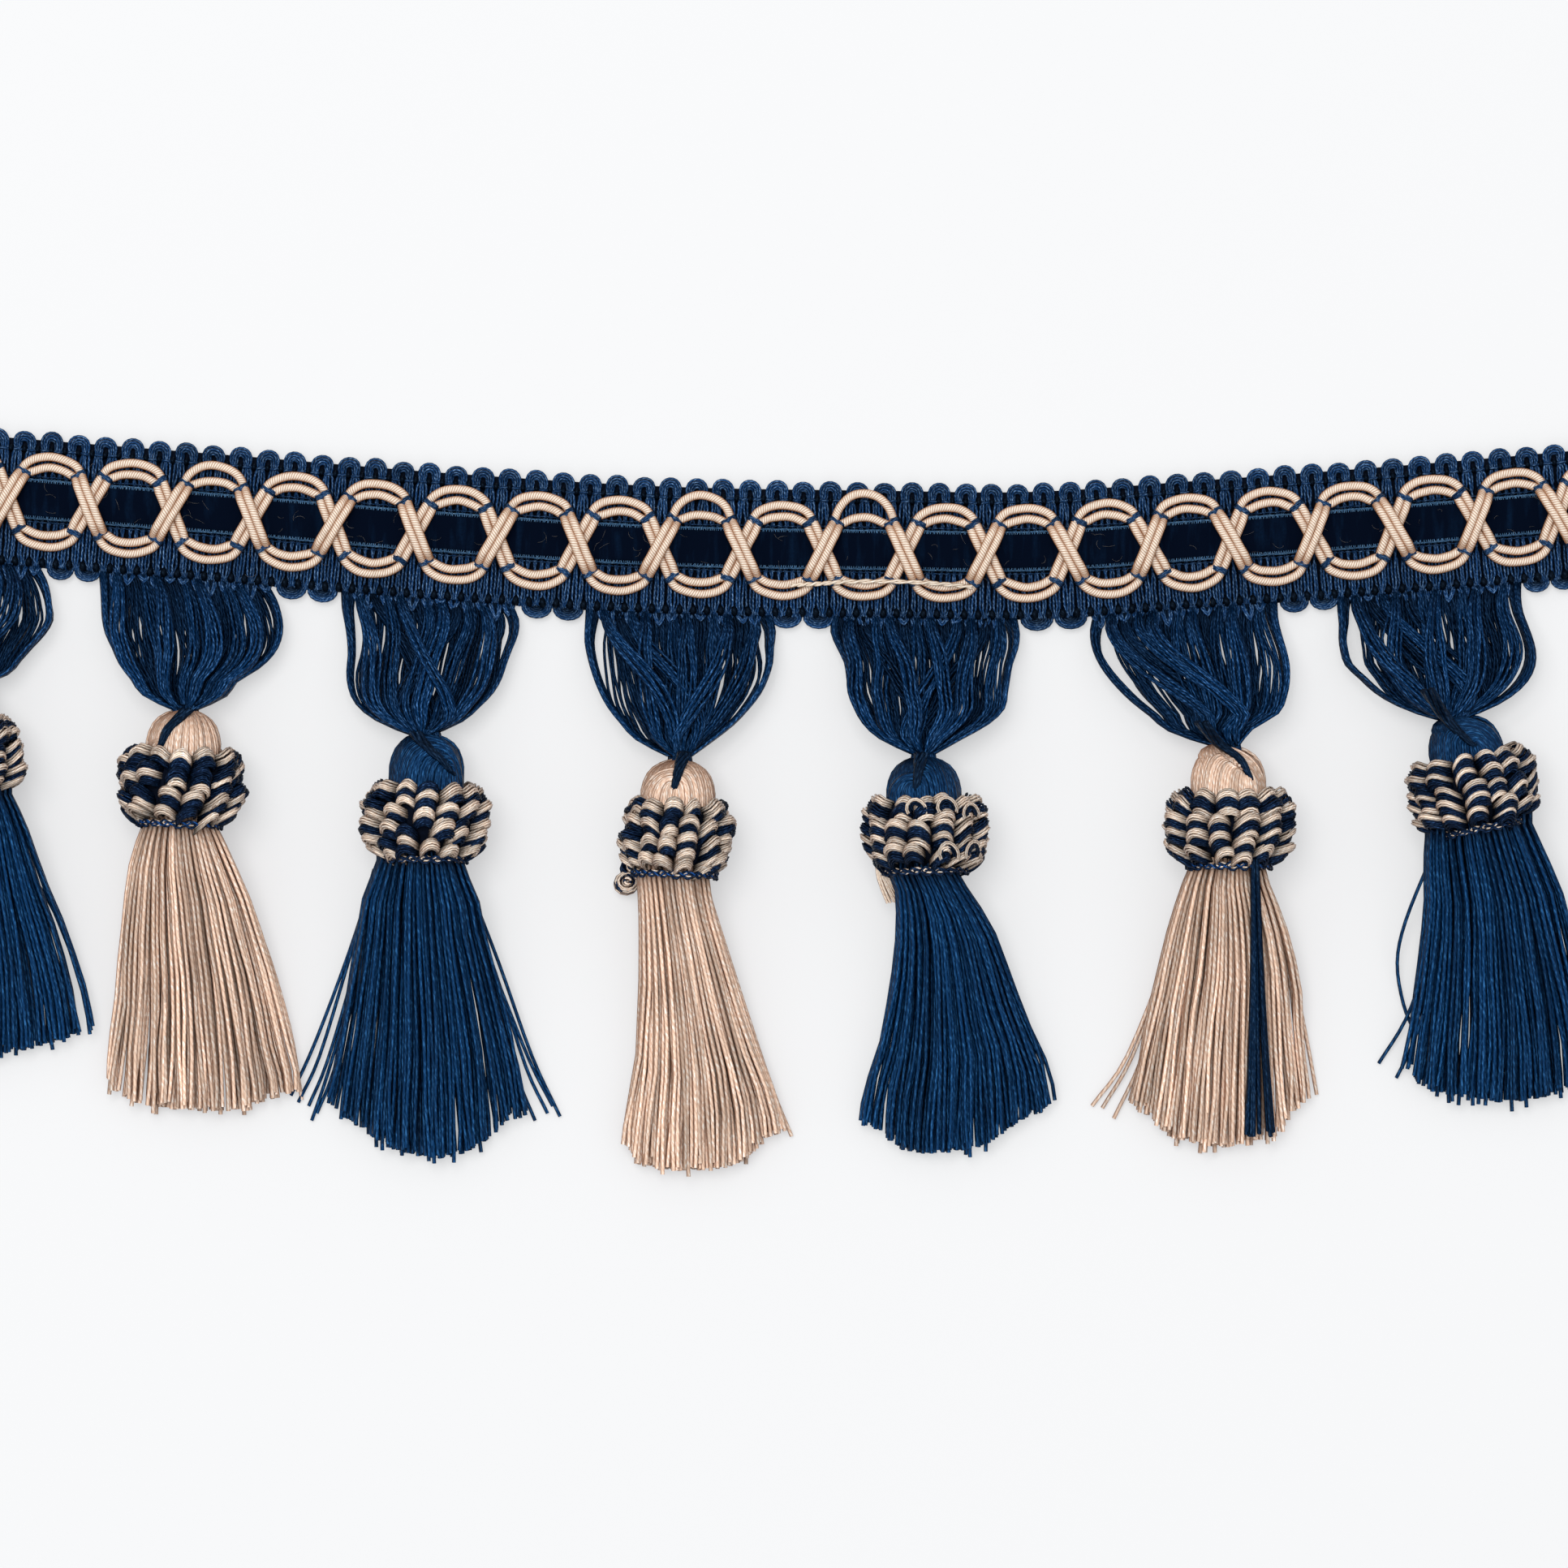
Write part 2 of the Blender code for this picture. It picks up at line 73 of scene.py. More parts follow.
# What each kind of piece starts its random draws from; tassels add their number
SEEDS = {
    "cords": 3, "ribbon": 5, "cord_ties": 8, "heading": 11, "loose_ends": 77, "collar_ends": 88, "hairs": 99,
    "hangers": 100, "tassels": 200, "collars": 300, "neck_ties": 400,
}

# Heading
LOOPS = 65
LOOP_PITCH = 5.19
HEADING_LENGTH = LOOPS * LOOP_PITCH
HEADING_END = HEADING_LENGTH / 2
LEG_PITCH = LOOP_PITCH / 2
UPPER_ROW = 9.0
LOWER_ROW = -12.8
ARCH_CENTRE = 10.75
# The heading's centre line: place along it, height on the page
LIE = [
    (-170.0, 12.5),
    (-134.8, 9.7),
    (-93.3, 6.4),
    (-52.0, 3.0),
    (-10.6, 0.5),
    (31.2, -0.3),
    (60.0, -0.5),
    (93.0, 1.7),
    (134.4, 4.8),
    (170.0, 7.9),
]
# The yarns of a loop of the upper edge, and the middle of their bundle on each side
ARCH_REACHES = (0.6, 1.04, 1.5, 1.98)
BUNDLE_MIDDLE = 1.28
# The yarns of a loop of the lower edge: how far out, how thick, and how much painted shade they take, most on the
# inner yarns
LOWER_RINGS = [
    (0.1, 1.1, 0.9), (0.27, 1.1, 0.85), (0.44, 1.1, 0.7), (0.61, 1.1, 0.4), (0.78, 1.15, 0.1), (0.95, 1.25, 0.0),
]
# The knots, painted all in the near-black of the deepest shade: how far across, half size, level
KNOT_ROWS = ((UPPER_ROW + 0.2, 0.5, 1.95), (LOWER_ROW + 0.35, 0.7, 2.95))

# Ribbon: half width, how far its middle lies off the heading's, underside
RIBBON_HALF = 3.65
RIBBON_RISE = -0.3
RIBBON_BOTTOM = 2.1
RIBBON_HIGH = RIBBON_RISE + RIBBON_HALF
RIBBON_LOW = RIBBON_RISE - RIBBON_HALF
TOOTH_PITCH = 0.42
HAIRS = 170
# Across the heading: place, how far a bundle spreads, how far it parts in two, level
HEADING_STATIONS = [
    (LOWER_ROW - 0.6, 0.85, 0.0, 1.2),
    (LOWER_ROW + 0.15, 0.6, 0.0, 1.6),
    (-11.95, 1.2, 0.0, 1.6),
    (-11.0, 1.35, 0.0, 1.55),
    (-9.0, 1.3, 0.0, 1.45),
    (-7.0, 1.3, 0.15, 1.55),
    (RIBBON_LOW - 1.1, 1.05, 1.0, 1.45),
    (RIBBON_LOW - 0.3, 0.8, 1.0, 0.7),
    (RIBBON_HIGH + 0.3, 0.8, 1.0, 0.7),
    (RIBBON_HIGH + 1.1, 1.05, 1.0, 1.45),
    (5.6, 1.3, 0.15, 1.6),
    (7.2, 1.25, 0.0, 1.45),
    (UPPER_ROW - 0.7, 1.1, 0.0, 1.4),
    (UPPER_ROW + 0.1, 0.72, 0.0, 0.8),
]

# Wrapped cords: how far their middle lies off the heading's, and the cells that they wave in
CORD_RISE = -0.65
CELL = 15.66
FIRST_CROSSING = -168.52
CELLS = 22
ARC_HALF = 5.2
ARC_FOOT = 5.45
ARC_TOP = 7.65
# How much further out the outer cord stands where it has worked loose, by cell
LOOSE = {4: 0.9, 10: 1.7, 12: 2.6}
# Half the distance between a pair's cords: on an arc, at its foot and half way down a leg
ARC_APART = 1.05
FOOT_APART = 0.68
LEG_APART = 0.74
# Levels of the cords: on their arcs, and where the lower and the upper pair cross
CORD_REST = 2.75
UNDER_LEVEL = 3.75
OVER_LEVEL = 5.6
TIE_TURNS = 4
TIE_STEPS = 8

# Where the camera sees each hanger, in mm on the page: height, left side, right side
HANGER_SIDES = [
    [(-2.5, -164.5, -128.3), (-12.0, -166.0, -128.7), (-15.0, -166.0, -129.3), (-18.1, -165.0, -132.0),
     (-21.2, -161.0, -134.9), (-24.4, -156.0, -137.8), (-27.0, -149.3, -145.0)],
    [(-6.4, -119.1, -84.1), (-13.4, -118.9, -84.1), (-16.6, -118.3, -84.5), (-19.7, -116.9, -85.8),
     (-22.8, -115.5, -88.6), (-25.9, -113.0, -93.6), (-29.1, -110.5, -96.2), (-31.2, -105.6, -101.2)],
    [(-10.0, -73.3, -37.7), (-13.4, -72.3, -37.7), (-16.6, -71.9, -39.1), (-19.7, -71.6, -40.8),
     (-22.8, -71.9, -42.0), (-25.9, -71.9, -43.1), (-29.1, -70.8, -45.3), (-32.2, -68.4, -48.9),
     (-34.5, -63.1, -51.7), (-36.2, -59.4, -56.4)],
    [(-13.0, -26.2, 9.8), (-15.0, -26.3, 11.4), (-18.1, -26.3, 10.0), (-21.2, -25.6, 9.8), (-24.4, -24.7, 8.9),
     (-27.5, -23.6, 7.5), (-30.6, -22.0, 5.2), (-33.8, -19.5, 2.3), (-36.9, -16.6, -1.6), (-40.0, -10.6, -5.8)],
    [(-13.0, 21.4, 57.6), (-15.8, 20.6, 57.8), (-18.9, 22.5, 57.0), (-22.0, 24.1, 55.6), (-25.2, 24.4, 55.0),
     (-28.3, 24.8, 54.5), (-31.4, 26.1, 53.8), (-34.5, 28.0, 50.2), (-37.7, 32.0, 44.2), (-39.6, 36.4, 41.0)],
    [(-11.0, 69.0, 106.6), (-14.2, 69.9, 107.0), (-17.3, 70.6, 108.0), (-20.5, 71.7, 108.9), (-23.6, 73.4, 109.2),
     (-26.7, 75.9, 108.9), (-29.8, 79.1, 108.0), (-33.0, 83.3, 105.8), (-36.1, 87.5, 99.7), (-38.0, 94.0, 99.5)],
    [(-8.0, 117.7, 153.0), (-13.4, 119.1, 154.1), (-16.6, 118.9, 155.5), (-19.7, 119.2, 156.1),
     (-22.8, 120.3, 156.1), (-25.9, 123.8, 154.5), (-29.1, 127.5, 151.1), (-31.5, 133.0, 146.0),
     (-33.0, 137.5, 142.5)],
]
# Bundles that swing across: the tassel's number, where they start, from -1 to 1, and where they end
SWEEPS = {
    1: {5: 0.2},
    2: {2: 0.4, 4: 0.9, 8: -0.5},
    3: {1: 0.1, 2: 0.3, 3: 0.7, 10: -0.1},
    4: {2: 0.2, 9: -0.5, 11: -0.2},
    5: {1: 0.2, 2: 0.5, 3: 0.9, 4: 0.9},
    6: {1: -0.2, 2: 0.2, 3: 0.6, 5: 0.8},
    0: {8: -0.3, 10: 0.1},
}
# Where the camera sees each skirt: share of the way down, left side, right side
SKIRT_SIDES = [
    [(0.0, -152.0, -136.8), (0.1, -154.0, -134.2), (0.3, -157.5, -130.6), (0.5, -160.5, -126.6),
     (0.7, -163.0, -123.2), (0.85, -164.5, -121.8), (1.0, -166.0, -120.9)],
    [(0.0, -111.4, -97.2), (0.06, -112.7, -95.6), (0.17, -114.5, -92.8), (0.29, -115.3, -90.0),
     (0.4, -115.9, -88.3), (0.51, -116.3, -86.4), (0.63, -116.7, -84.7), (0.74, -117.7, -83.4),
     (0.86, -118.4, -81.6), (1.0, -119.0, -80.9)],
    [(0.0, -66.4, -49.8), (0.04, -67.2, -49.1), (0.15, -69.6, -46.4), (0.26, -70.2, -45.4), (0.37, -71.2, -43.6),
     (0.48, -72.2, -42.0), (0.59, -73.2, -40.4), (0.7, -74.4, -39.0), (0.85, -75.8, -37.6), (1.0, -76.2, -36.8)],
    [(0.0, -16.4, -2.6), (0.1, -15.8, -1.9), (0.22, -15.8, 0.3), (0.33, -15.7, 2.2), (0.44, -16.0, 4.2),
     (0.55, -16.5, 6.4), (0.66, -17.0, 8.6), (0.77, -18.3, 11.1), (0.88, -19.3, 12.4), (1.0, -19.8, 12.8)],
    [(0.0, 32.2, 45.4), (0.07, 33.6, 47.6), (0.18, 33.7, 51.8), (0.29, 33.2, 54.2), (0.4, 32.2, 56.3),
     (0.51, 31.0, 58.6), (0.63, 29.4, 61.9), (0.74, 27.4, 63.3), (0.87, 26.2, 64.3), (1.0, 25.8, 64.8)],
    [(0.0, 90.0, 104.5), (0.07, 88.4, 105.5), (0.18, 86.4, 108.1), (0.3, 84.8, 109.8), (0.42, 83.4, 110.9),
     (0.53, 81.8, 111.2), (0.65, 80.6, 111.8), (0.77, 79.4, 112.6), (0.9, 78.2, 113.2), (1.0, 77.4, 113.6)],
    [(0.0, 135.4, 156.0), (0.1, 135.0, 158.3), (0.25, 135.3, 161.6), (0.4, 134.7, 163.6), (0.55, 133.6, 165.6),
     (0.7, 132.6, 167.6), (0.85, 131.4, 169.2), (1.0, 130.4, 170.0)],
]
# Where the skirts end: height of the tips from the left side to the right, in mm on the page
SKIRT_TIPS = [
    [-99.0, -99.6, -99.5, -99.3, -98.0, -96.9, -95.3, -93.2],
    [-103.5, -106.8, -107.7, -108.3, -108.6, -108.6, -107.8, -105.8, -105.0],
    [-107.2, -110.5, -113.6, -116.0, -117.2, -117.8, -116.9, -114.5, -110.6, -109.8],
    [-115.0, -119.2, -120.0, -120.2, -120.0, -119.6, -118.0, -114.0, -112.2],
    [-111.2, -112.6, -116.2, -116.8, -116.6, -116.2, -114.6, -111.4, -109.4, -107.4],
    [-107.2, -110.0, -113.2, -114.6, -115.4, -115.6, -114.2, -114.2, -109.6, -106.2],
    [-100.0, -104.4, -105.6, -106.4, -107.0, -106.6, -105.6, -104.0, -103.4],
]
# The neck tie of each tassel: from the neck over the head to where it dives in, as seen on the page
TIE_WAYS = [
    [(-146.0, -25.5), (-146.3, -28.0), (-147.0, -32.0)],
    [(-103.2, -31.2), (-104.8, -33.0), (-107.0, -35.4), (-108.4, -39.0)],
    [(-59.4, -35.6), (-57.4, -38.0), (-54.6, -40.6), (-51.8, -43.8)],
    [(-7.2, -39.5), (-8.2, -42.4), (-9.4, -47.0)],
    [(38.4, -39.6), (38.0, -42.4), (37.2, -47.0)],
    [(92.2, -33.6), (95.6, -37.6), (99.6, -40.6), (101.9, -44.8)],
    [(135.6, -27.4), (138.6, -31.6), (141.6, -35.2), (145.2, -38.8)],
]

# Tassels, each in its own frame: its top at 0, its axis down -Y
# Head: place, radius
HEAD_RINGS = [(-0.2, 0.9), (-0.9, 3.2), (-2.0, 4.9), (-3.6, 6.2), (-6.0, 6.85), (-9.5, 6.9)]
HEAD_FLAT = 0.92
HEAD_LEVEL = 15.0
CORE_RADIUS = 6.3
WAIST_RADIUS = 7.1
PLAIN_WAIST = 22.5
# The axis above the table: place, level
AXIS_RISE = [(0.0, 7.2), (-7.0, 8.8), (-14.0, 10.4), (-22.5, 10.2)]
NECK_RISE = 7.0
# Collar: where it starts, how far past the waist it ends, its share of its width down its length
RUFF_START = -7.4
RUFF_END = 0.9
RUFF_PROFILE = [(0.0, 0.8), (0.22, 1.0), (0.75, 1.0), (1.0, 0.85)]
RUFF_HALF_HEIGHT = 10.5
BED_INSET = 2.6
HEM_KNOTS = 21
# The collars' rolls: how thick the tan and the navy ones are and how far round their columns slant
COLLAR_ROLLS = [
    (1.2, 1.4, 0.3), (1.5, 1.9, 0.5), (1.8, 1.7, 0.6), (1.9, 1.4, 0.15), (1.2, 1.9, 0.15), (1.4, 1.8, 0.2),
    (0.85, 1.8, -0.2),
]
# Tassels whose collars have four tiers of rolls, and whose collars are tied off with a blue thread
FOUR_TIERS = (2, 3, 4)
BLUE_TIED = (2, 4, 6)
# The collars' loops that stand open, by tassel: across, below the start, half width, half height
OPEN_LOOPS = {
    5: [
        (-1.7, 2.6, 2.0, 1.9), (4.2, 2.4, 2.0, 2.0), (8.8, 3.6, 1.6, 1.9), (4.4, 11.2, 2.0, 2.2),
        (9.2, 11.0, 1.6, 2.2),
    ],
}
# Coils that came out of the fourth tassel's collar: x, y, half width, share of tan, threads
COILS = ((-17.4, -61.7, 1.9, 0.1, 26), (-18.3, -64.6, 2.1, 0.55, 34))
# Skirt: share of the way down, half thickness, clearance under it
SKIRT_CLUMPS = 19
GOLDEN_TURN = 2.399963
SKIRT_STATIONS = [(0.0, 5.9, 4.3), (0.3, 5.2, 1.7), (0.65, 4.0, 0.35), (1.0, 2.9, 0.0)]
# Single yarns beside the skirts, each a line of (x, y) on the page
LOOSE_NAVY = [
    [(-67.0, -62.0), (-72.0, -80.0), (-77.5, -98.0), (-81.6, -106.9)],
    [(-66.5, -63.0), (-71.0, -82.0), (-76.0, -99.0), (-79.6, -107.6)],
    [(-65.5, -64.0), (-70.2, -84.0), (-74.8, -101.0), (-78.0, -109.0)],
    [(-50.0, -62.0), (-43.0, -80.0), (-36.6, -98.0), (-31.2, -109.6)],
    [(-66.8, -62.5), (-71.8, -78.0), (-78.2, -95.0), (-83.0, -105.6)],
    [(-66.0, -63.5), (-70.6, -83.0), (-75.8, -101.0), (-79.0, -110.4)],
    [(-51.0, -63.5), (-43.0, -84.0), (-37.0, -99.0), (-32.6, -107.6)],
    [(-50.6, -63.0), (-43.6, -82.0), (-37.8, -100.0), (-33.6, -109.0)],
    [(-51.6, -64.0), (-44.4, -86.0), (-39.4, -102.0), (-36.0, -110.4)],
    [(-139.0, -56.0), (-131.0, -66.0), (-125.0, -78.0), (-121.4, -91.5)],
    [(136.4, -60.0), (131.6, -72.0), (130.0, -80.0), (131.2, -88.0), (133.6, -94.0)],
    [(135.8, -80.0), (131.6, -91.0), (126.4, -99.4)],
    [(135.0, -90.0), (132.4, -97.0), (129.8, -102.2)],
    [(34.2, -72.0), (32.8, -88.0), (28.6, -103.0), (27.0, -110.4)],
]
LOOSE_SAND = [
    [(91.0, -62.0), (86.0, -78.0), (78.0, -98.0), (71.2, -107.6)],
    [(90.6, -63.0), (85.6, -80.0), (79.0, -98.0), (73.2, -108.0)],
    [(90.2, -64.0), (86.0, -82.0), (80.6, -99.0), (75.4, -110.0)],
    [(104.0, -62.0), (109.0, -78.0), (112.4, -94.0), (114.5, -105.4)],
    [(-2.8, -66.0), (3.6, -86.0), (9.6, -104.0), (13.4, -113.4)],
    [(-97.4, -56.0), (-89.0, -74.0), (-83.4, -92.0), (-80.9, -106.4)],
]
STRAY_ROUTE = [(13.3, -7.4), (18.0, -7.2), (23.6, -6.8), (32.0, -6.7), (41.1, -7.1), (48.0, -7.8)]
# The navy lock among the sand yarns of the sixth tassel
LOCK_YARNS = 16

NAVY, SAND = "navy", "sand"
TASSEL_COLUMNS = (
    "colour", "root_left", "root_right", "top_x", "top_y", "turn", "waist", "collar",
    "side_left", "side_right", "stray_left", "stray_right", "skirt",
)
TASSELS = [
    (NAVY, -164.1, -128.9, -146.6, -25.6, 4.0, 22.5, 12.1, -8.0, 16.5, 0.0, 4.0, 52.0),
    (SAND, -118.3, -84.7, -102.8, -31.2, -2.5, 22.5, 12.1, -7.5, 15.0, 0.0, 0.0, 54.8),
    (NAVY, -72.7, -37.8, -56.4, -35.8, -1.0, 24.6, 12.3, -12.0, 12.0, 8.0, 8.5, 55.8),
    (SAND, -25.8, 9.4, -8.1, -40.8, -2.5, 22.5, 10.6, -4.0, 16.5, 0.0, 0.0, 56.0),
    (NAVY, 21.9, 57.0, 38.6, -40.2, 0.8, 22.5, 11.8, -8.5, 20.5, 0.0, 0.0, 55.0),
    (SAND, 69.5, 106.2, 97.0, -38.1, 0.0, 23.6, 12.3, -14.0, 12.5, 8.0, 0.0, 54.5),
    (NAVY, 117.7, 152.8, 141.2, -32.4, 11.0, 22.5, 12.6, -4.5, 14.0, 12.0, 0.0, 50.5),
]


def rows():
    """The tassels, from the left, each as a dictionary."""
    return [dict(zip(TASSEL_COLUMNS, values)) for values in TASSELS]


def page_colour(red, green, blue):
    """A colour seen on a page, 0 to 255 each, as linear light."""
    return tuple(((c / 255 + 0.055) / 1.055) ** 2.4 if c > 10 else c / 3294.6 for c in (red, green, blue))



class FringeColours(bpy.types.PropertyGroup):
    """The dyes of the fringe."""

    navy: FloatVectorProperty(
        name="Navy yarn", description="Dye of the navy yarn", subtype="COLOR",
        min=0.0, max=1.0, default=page_colour(10, 54, 98),
    )
    sand: FloatVectorProperty(
        name="Sand yarn", description="Dye of the sand-coloured yarn", subtype="COLOR",
        min=0.0, max=1.0, default=page_colour(244, 212, 188),
    )
    wrap: FloatVectorProperty(
        name="Cord wrap", description="Thread wound round the waving cords", subtype="COLOR",
        min=0.0, max=1.0, default=page_colour(255, 242, 226),
    )
    tan: FloatVectorProperty(
        name="Collar tan", description="Light thread of the looped collars", subtype="COLOR",
        min=0.0, max=1.0, default=page_colour(255, 234, 212),
    )
    ink: FloatVectorProperty(
        name="Collar navy", description="Dark thread of the looped collars", subtype="COLOR",
        min=0.0, max=1.0, default=page_colour(14, 30, 60),
    )
    velvet: FloatVectorProperty(
        name="Velvet", description="Pile of the ribbon", subtype="COLOR",
        min=0.0, max=1.0, default=page_colour(3, 9, 24),
    )
    selvage: FloatVectorProperty(
        name="Selvage", description="Light teeth along the ribbon's edges", subtype="COLOR",
        min=0.0, max=1.0, default=page_colour(80, 128, 172),
    )
    floor: FloatVectorProperty(
        name="Floor", description="The pale table under the fringe", subtype="COLOR",
        min=0.0, max=1.0, default=(0.86, 0.865, 0.875),
    )


class FringeSizes(bpy.types.PropertyGroup):
    """Sizes and counts of the yarns."""

    heading_yarn: FloatProperty(
        name="Heading yarn", description="Thickness of one yarn of the heading", unit="LENGTH",
        default=0.56 * MM, min=0.1 * MM, max=2 * MM,
    )
    cord: FloatProperty(
        name="Wrapped cord", description="Thickness of a waving cord", unit="LENGTH",
        default=1.68 * MM, min=0.5 * MM, max=4 * MM,
    )
    navy_yarn: FloatProperty(
        name="Navy tassel yarn", description="Thickness of a yarn of the navy tassels", unit="LENGTH",
        default=0.84 * MM, min=0.3 * MM, max=3 * MM,
    )
    sand_yarn: FloatProperty(
        name="Sand tassel yarn", description="Thickness of a yarn of the sand tassels", unit="LENGTH",
        default=0.88 * MM, min=0.3 * MM, max=3 * MM,
    )
    head_yarn: FloatProperty(
        name="Head yarn", description="Thickness of a yarn over a tassel's head", unit="LENGTH",
        default=0.76 * MM, min=0.2 * MM, max=3 * MM,
    )
    hanger_yarn: FloatProperty(
        name="Hanger yarn", description="Thickness of a yarn of the hanging loops", unit="LENGTH",
        default=0.64 * MM, min=0.2 * MM, max=2 * MM,
    )
    bundle_yarns: IntProperty(
        name="Bundle yarns", description="Yarns in one flat bundle of the hanging loops", default=7, min=1, max=12,
    )
    collar_thread: FloatProperty(
        name="Collar thread", description="Thickness of a thread of the collars", unit="LENGTH",
        default=0.52 * MM, min=0.1 * MM, max=2 * MM,
    )
    skirt_yarns: IntProperty(
        name="Skirt yarns", description="Yarns in one tassel's skirt", default=190, min=20, max=400,
    )
    head_yarns: IntProperty(
        name="Head yarns", description="Yarns round one tassel's head", default=84, min=10, max=140,
    )
    collar_columns: IntProperty(
        name="Collar columns", description="Columns of loops round one collar", default=13, min=5, max=30,
    )


class FringeStage(bpy.types.PropertyGroup):
    """The table, the light and the camera."""

    camera_height: FloatProperty(
        name="Camera height", description="Distance from the table to the camera", unit="LENGTH",
        default=1.6, min=0.3, max=5.0,
    )
    frame_width: FloatProperty(
        name="Frame width", description="Width of the table that the picture shows", unit="LENGTH",
        default=0.3019, min=0.05, max=2.0,
    )
    key_light: FloatProperty(
        name="Key light", description="Power of the large lamp at the upper left", unit="POWER",
        default=30.0, min=0.0, max=500.0,
    )
    sky: FloatProperty(
        name="Fill light", description="Strength of the even light from all sides", default=0.64,
        min=0.0, max=5.0,
    )


def colours():
    return bpy.context.scene.fringe_colours


def sizes():
    return bpy.context.scene.fringe_sizes


# Lines and places


def between(table, x):
    """The value at x of a table of (place, value) rows, which run either up or down."""
    table = sorted(table)
    return np.interp(x, [place for place, _ in table], [value for _, value in table])


def lie_at(x):
    """Height on the page and slope of the heading's centre line, on a smooth curve through LIE."""
    place = min(max(x, LIE[0][0]), LIE[-1][0])
    i = max(k for k in range(len(LIE) - 1) if LIE[k][0] <= place)
    near = [LIE[max(i - 1, 0)], LIE[i], LIE[i + 1], LIE[min(i + 2, len(LIE) - 1)]]
    (x0, y0), (x1, y1), (x2, y2), (x3, y3) = near
    span = x2 - x1
    into = (y2 - y0) / (x2 - x0) * span
    out = (y3 - y1) / (x3 - x1) * span
    t = (place - x1) / span
    height = (
        y1 * (2 * t**3 - 3 * t**2 + 1)
        + into * (t**3 - 2 * t**2 + t)
        + y2 * (3 * t**2 - 2 * t**3)
        + out * (t**3 - t**2)
    )
    rise = (
        y1 * (6 * t**2 - 6 * t)
        + into * (3 * t**2 - 4 * t + 1)
        + y2 * (6 * t - 6 * t**2)
        + out * (3 * t**2 - 2 * t)
    )
    return height, rise / span


def on_heading(along, across, level):
    """The point, in millimetres, along the heading, across it and above the table."""
    height, slope = lie_at(along)
    size = math.hypot(slope, 1.0)
    return (along - slope / size * across, height + across / size, level)


def seen(x, y, level):
    """The point at that height which the camera sees over (x, y) on the table, all in millimetres."""
    stage = bpy.context.scene.fringe_stage
    part = level * MM / stage.camera_height
    return CAMERA_X + (x - CAMERA_X) * (1 - part), CAMERA_Y + (y - CAMERA_Y) * (1 - part), level


def smooth_line(points, steps):
    """A line through the points, rounded between them, with so many steps from each to the next."""
    points = np.asarray(points, float)
    padded = np.vstack([2 * points[0] - points[1], points, 2 * points[-1] - points[-2]])
    t = np.linspace(0, 1, steps, endpoint=False)[:, None]
    parts = []
    for a, b, c, d in zip(padded, padded[1:], padded[2:], padded[3:]):
        parts.append(
            0.5 * (2 * b + (c - a) * t + (2 * a - 5 * b + 4 * c - d) * t**2 + (3 * b - a - 3 * c + d) * t**3)
        )
    return np.vstack(parts + [points[-1:]])


def bezier(a, b, c, d, count):
    """A curve from a to d, drawn towards b and c."""
    t = np.linspace(0, 1, count)[:, None]
    a, b, c, d = (np.asarray(item, float) for item in (a, b, c, d))
    return a * (1 - t) ** 3 + b * 3 * t * (1 - t) ** 2 + c * 3 * t * t * (1 - t) + d * t**3


def wander(dice, share, amount, waves=2.2):
    """A slow random drift along a strand, which starts at nothing."""
    first, second = dice.uniform(0, 2 * math.pi, 2)
    drift = np.sin(first + share * waves * dice.uniform(2.0, 4.5)) - math.sin(first)
    return amount * (drift + 0.5 * (np.sin(second + share * waves * 7.0) - math.sin(second)))


# Strand pieces


def strand(points, radius, shade=0.5, dye=0, deep=0.0):
    """One yarn: its middle line in millimetres, its radius there, its lightness, its dye and how much
    painted shade it takes for lying deep under others, from 0 to 1."""
    points = np.asarray(points, float)
    radii, depths = (np.broadcast_to(np.asarray(item, float), (len(points),)) for item in (radius, deep))
    return points, radii, shade, dye, depths


def tube_nodes():
    """Geometry nodes that sweep a round profile with a set number of sides along every strand."""
    group = bpy.data.node_groups.get("strand_tube")
    if group:
        return group
    group = bpy.data.node_groups.new("strand_tube", "GeometryNodeTree")
    group.interface.new_socket("Geometry", in_out="INPUT", socket_type="NodeSocketGeometry")
    group.interface.new_socket("Sides", in_out="INPUT", socket_type="NodeSocketInt")
    group.interface.new_socket("Geometry", in_out="OUTPUT", socket_type="NodeSocketGeometry")
    start, end = group.nodes.new("NodeGroupInput"), group.nodes.new("NodeGroupOutput")
    circle = group.nodes.new("GeometryNodeCurvePrimitiveCircle")
    circle.inputs["Radius"].default_value = 1.0
    radius = group.nodes.new("GeometryNodeInputRadius")
    sweep = group.nodes.new("GeometryNodeCurveToMesh")
    sweep.inputs["Fill Caps"].default_value = True
    link = group.links.new
    link(start.outputs["Geometry"], sweep.inputs["Curve"])
    link(start.outputs["Sides"], circle.inputs["Resolution"])
    link(circle.outputs["Curve"], sweep.inputs["Profile Curve"])
    link(radius.outputs[0], sweep.inputs["Scale"])
    link(sweep.outputs["Mesh"], end.inputs["Geometry"])
    return group


